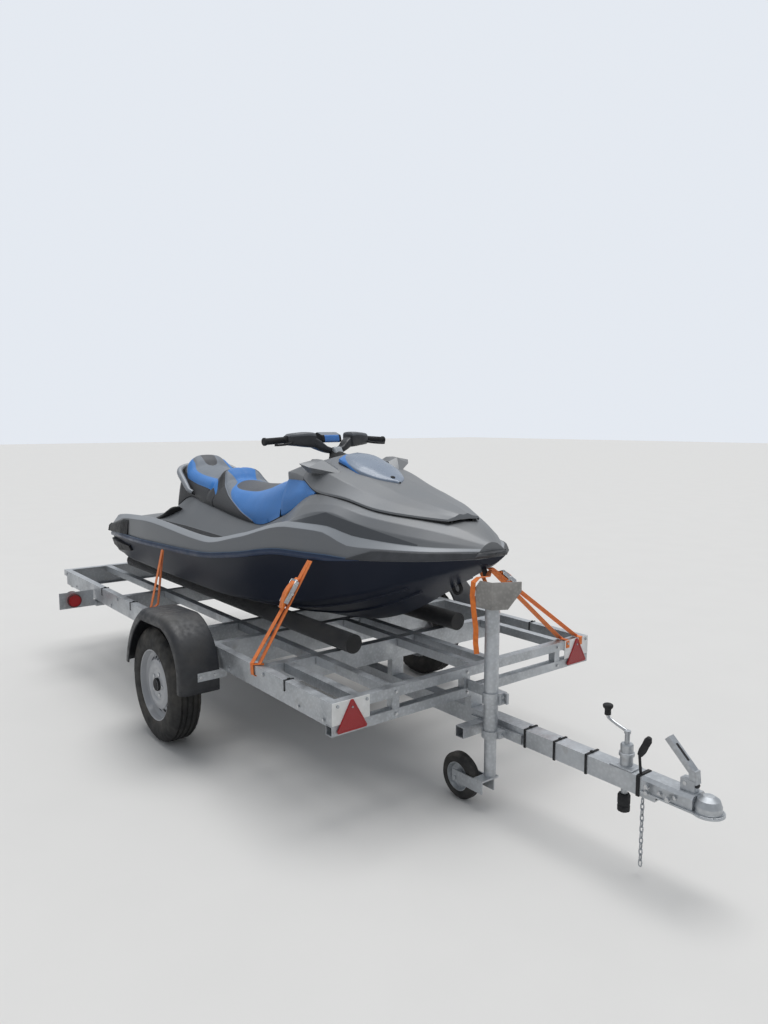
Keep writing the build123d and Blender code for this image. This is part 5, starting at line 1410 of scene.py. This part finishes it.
def make_screw():
    """The crank, its column and rubber foot, and the black handle banded to the drawbar."""
    turned("screw_column", COLUMN, 28, (SCREW_X, 0, 0), UP, *ZINC, node="drawbar_screw")
    tube("crank_arm", CRANK, 0.0062, "root", "zinc", "steel", sides=12)
    turned("crank_knob", KNOB, 24, (KNOB_X, 0, 0), UP, *BLACK)
    boxed("screw_plate", (1.850, -0.033, 0.3642), (1.945, 0.033, 0.3695), 0.0015, *ZINC)
    rod = [(0.0, 0.255), (0.012, 0.255), (0.012, 0.2938), (0.0, 0.2938)]
    turned("foot_rod", rod, 20, (FOOT_X, 0, 0), UP, *ZINC)
    turned("rubber_foot", FOOT, 28, (FOOT_X, 0, 0), UP, *RUBBER)
    ribbon("handle_band", [(1.973, y, z) for y, z in BAND], (1, 0, 0), 0.014, 0.003, "rubber")
    tube("handle_stem", HANDLE, 0.005, *BLACK, sides=12)
    tube("handle_grip", HANDLE_GRIP, 0.0138, *BLACK, sides=20, taper=(0.72, 1.0, 0.94, 1.0, 0.6))


def make_chain():
    """Galvanised breakaway chain: welded links."""
    links = []
    for i in range(LINKS):
        rings = []
        for a in circle(24):
            u, w = 0.0058 * math.cos(a), 0.0078 * math.sin(a)
            here = Vector((u, w + (math.copysign(0.0052, w) if abs(w) > 1e-6 else 0)))
            ring = []
            for b in circle(8):
                flat = here + here.normalized() * (WIRE_R * math.cos(b))
                deep = WIRE_R * math.sin(b)
                x, y = (flat.x, deep) if i % 2 else (deep, flat.x)
                ring.append((CHAIN_AT[0] + x, CHAIN_AT[1] + y, CHAIN_TOP - LINK_PITCH * i + flat.y))
            rings.append(ring)
        links.append(sheet_mesh("link", rings + rings[:1], closed=True))
    piece("chain_links", joined("chain_links", links), *ZINC, node="chain")
    tube("chain_hook", [(*CHAIN_AT, 0.277), (*CHAIN_AT, 0.2935)], 0.003, *ZINC, sides=8)


LEVER_FOOT, LEVER_END = Vector((2.166, 0, 0.432)), Vector((2.063, 0, 0.530))
BUTTON_SHAPE = [(0.0095, -0.004), (0.0095, 0.004), (0.008, 0.0065), (0.0, 0.0072)]
LIP_X, LIP_R, LIP_Z = 2.215, 0.050, 0.3215


def make_coupling_details():
    """A black block painted as the shade in the lever's slot, the lever's neck and pin, the release button, the
    coupling's bolts and its bright lip.
    """
    along = (LEVER_END - LEVER_FOOT).normalized()
    # A black block painted as the shade in the lever's slot
    slot = box_mesh("lever_slot_shade", (-0.034, -0.0075, -0.0112), (0.034, 0.0075, 0.0112))
    across = Vector((0, 1, 0))
    turn = Matrix((along, across, along.cross(across))).transposed().to_4x4()
    slot.transform(Matrix.Translation(LEVER_FOOT.lerp(LEVER_END, 0.56)) @ turn)
    modifier(piece("lever_slot_shade", slot, *RUBBER), "BEVEL", width=0.004, segments=3)
    button = lathe_mesh("release_button", BUTTON_SHAPE, 24, (2.1715, 0, 0.3945), (1, 0, 0.001), (0.75, 1.35))
    piece("release_button", button, *RUBBER)
    neck = [(2.158, 0, 0.3725), (2.162, 0, 0.386), (2.163, 0, 0.404), (2.160, 0, 0.424)]
    tube("lever_neck", neck, 0.0145, *ZINC, sides=20)
    pin = [(0.007, -0.0175), (0.007, 0.0175), (0.005, 0.019), (0.0, 0.0195)]
    turned("lever_pin", pin, 20, (2.137, 0, 0.396), (0, 1, 0), *STEEL)
    places = ((2.010, 0.345), (2.062, 0.338), (2.118, 0.345))
    bolts("coupling_bolts", [((x, s * 0.0415, z), (0, s, 0), 0.0075) for s in (-1, 1) for x, z in places], *STEEL)
    angles = [math.pi * (k / 24 - 0.5) for k in range(25)]
    lip = [(LIP_X + LIP_R * math.cos(a), -LIP_R * math.sin(a), LIP_Z) for a in angles]
    tube("coupling_lip", lip, 0.0032, "root", "zinc", "steel", sides=8)


# Width of the bevel on the edges of the CAD nodes that show
SOFT_EDGES = (
    (0.004, "side_rails lower_rails front_top_rail front_low_rail front_posts longitudinals drawbar"),
    (0.0015, "cross_members post_bracket post_clamps fender_brackets lamp_boards drawbar_hangers"),
    (0.003, "coupling_lever mirror_left mirror_right sponsons ride_plate"),
    (0.008, "stern_bumpers bunks"),
    (0.0025, "mats jockey_tyre reverse_bucket lamps"),
)


def soften_cad():
    """Break the edges of plain CAD nodes with a narrow bevel."""
    for width, names in SOFT_EDGES:
        for name in names.split():
            angle = math.radians(40)
            modifier(nodes[name], "BEVEL", width=width, segments=2, limit_method="ANGLE", angle_limit=angle)
            keep_flats(nodes[name])


# Stage: a plain pale floor and soft overcast light
FLOOR_COLOR = (0.72, 0.705, 0.68)
FLOOR_HALF = 60
SKY_COLOR, SKY_STRENGTH = (0.86, 0.92, 1.0, 1), 0.44
BACKDROP_COLOR = (0.78, 0.82, 0.88, 1)
# Name, place, angle in degrees and strength
SUNS = (("overcast", (-0.4, 0.9, 5.0), 45, 1.75), ("fill", (-4.0, 3.5, 5.0), 100, 0.45))


def make_stage():
    """Floor, world and lamps at a plain level."""
    mesh = bpy.data.meshes.new("floor")
    corners = [(FLOOR_HALF * a, FLOOR_HALF * b, 0) for a, b in ((-1, -1), (1, -1), (1, 1), (-1, 1))]
    mesh.from_pydata(corners, [], [(0, 1, 2, 3)])
    floor = bpy.data.objects.new("floor", mesh)
    bpy.context.collection.objects.link(floor)
    look = Look("floor_paper", FLOOR_COLOR, 0.9, Specular_IOR_Level=0.1)
    look.mottle(2.5, shade(FLOOR_COLOR, 0.97), 0.35, 0.7, 0.5)
    floor.data.materials.append(look.material)

    world = bpy.data.worlds.new("world")
    bpy.context.scene.world = world
    world.use_nodes = True
    tree = world.node_tree
    sky = tree.nodes["Background"]
    sky.inputs["Color"].default_value = SKY_COLOR
    sky.inputs["Strength"].default_value = SKY_STRENGTH
    backdrop = add_node(tree, "Background", 0, {"Color": BACKDROP_COLOR})
    rays = [add_node(tree, "LightPath", f"Is {kind} Ray", {}) for kind in ("Camera", "Transmission")]
    seen = add_node(tree, "Math", 0, dict(enumerate(rays)), operation="MAXIMUM")
    shown = add_node(tree, "MixShader", 0, {0: seen, 1: sky.outputs[0], 2: backdrop})
    tree.links.new(shown, tree.nodes["World Output"].inputs["Surface"])

    for name, spot, angle, strength in SUNS:
        data = bpy.data.lights.new(name, "SUN")
        data.angle = math.radians(angle)
        data.energy = strength
        lamp = bpy.data.objects.new(name, data)
        lamp.location = spot
        lamp.rotation_euler = (-Vector(spot)).to_track_quat("-Z", "Y").to_euler()
        bpy.context.collection.objects.link(lamp)
    bpy.context.scene.view_settings.view_transform = "Standard"


make_camera()
make_stage()
dress_cad_nodes()
make_hull()
make_deck()
make_bumper()
make_rub_rail()
make_seats()
make_hood()
make_cowl()
make_screen()
make_bars()
make_mirrors()
make_stern_fittings()
make_fenders()
for side, word in SIDES:
    make_tyre(word, side)
    make_wheel_details(word, side)
make_straps()
make_reflectors()
make_bolts()
make_ties()
make_screw()
make_chain()
make_coupling_details()
soften_cad()
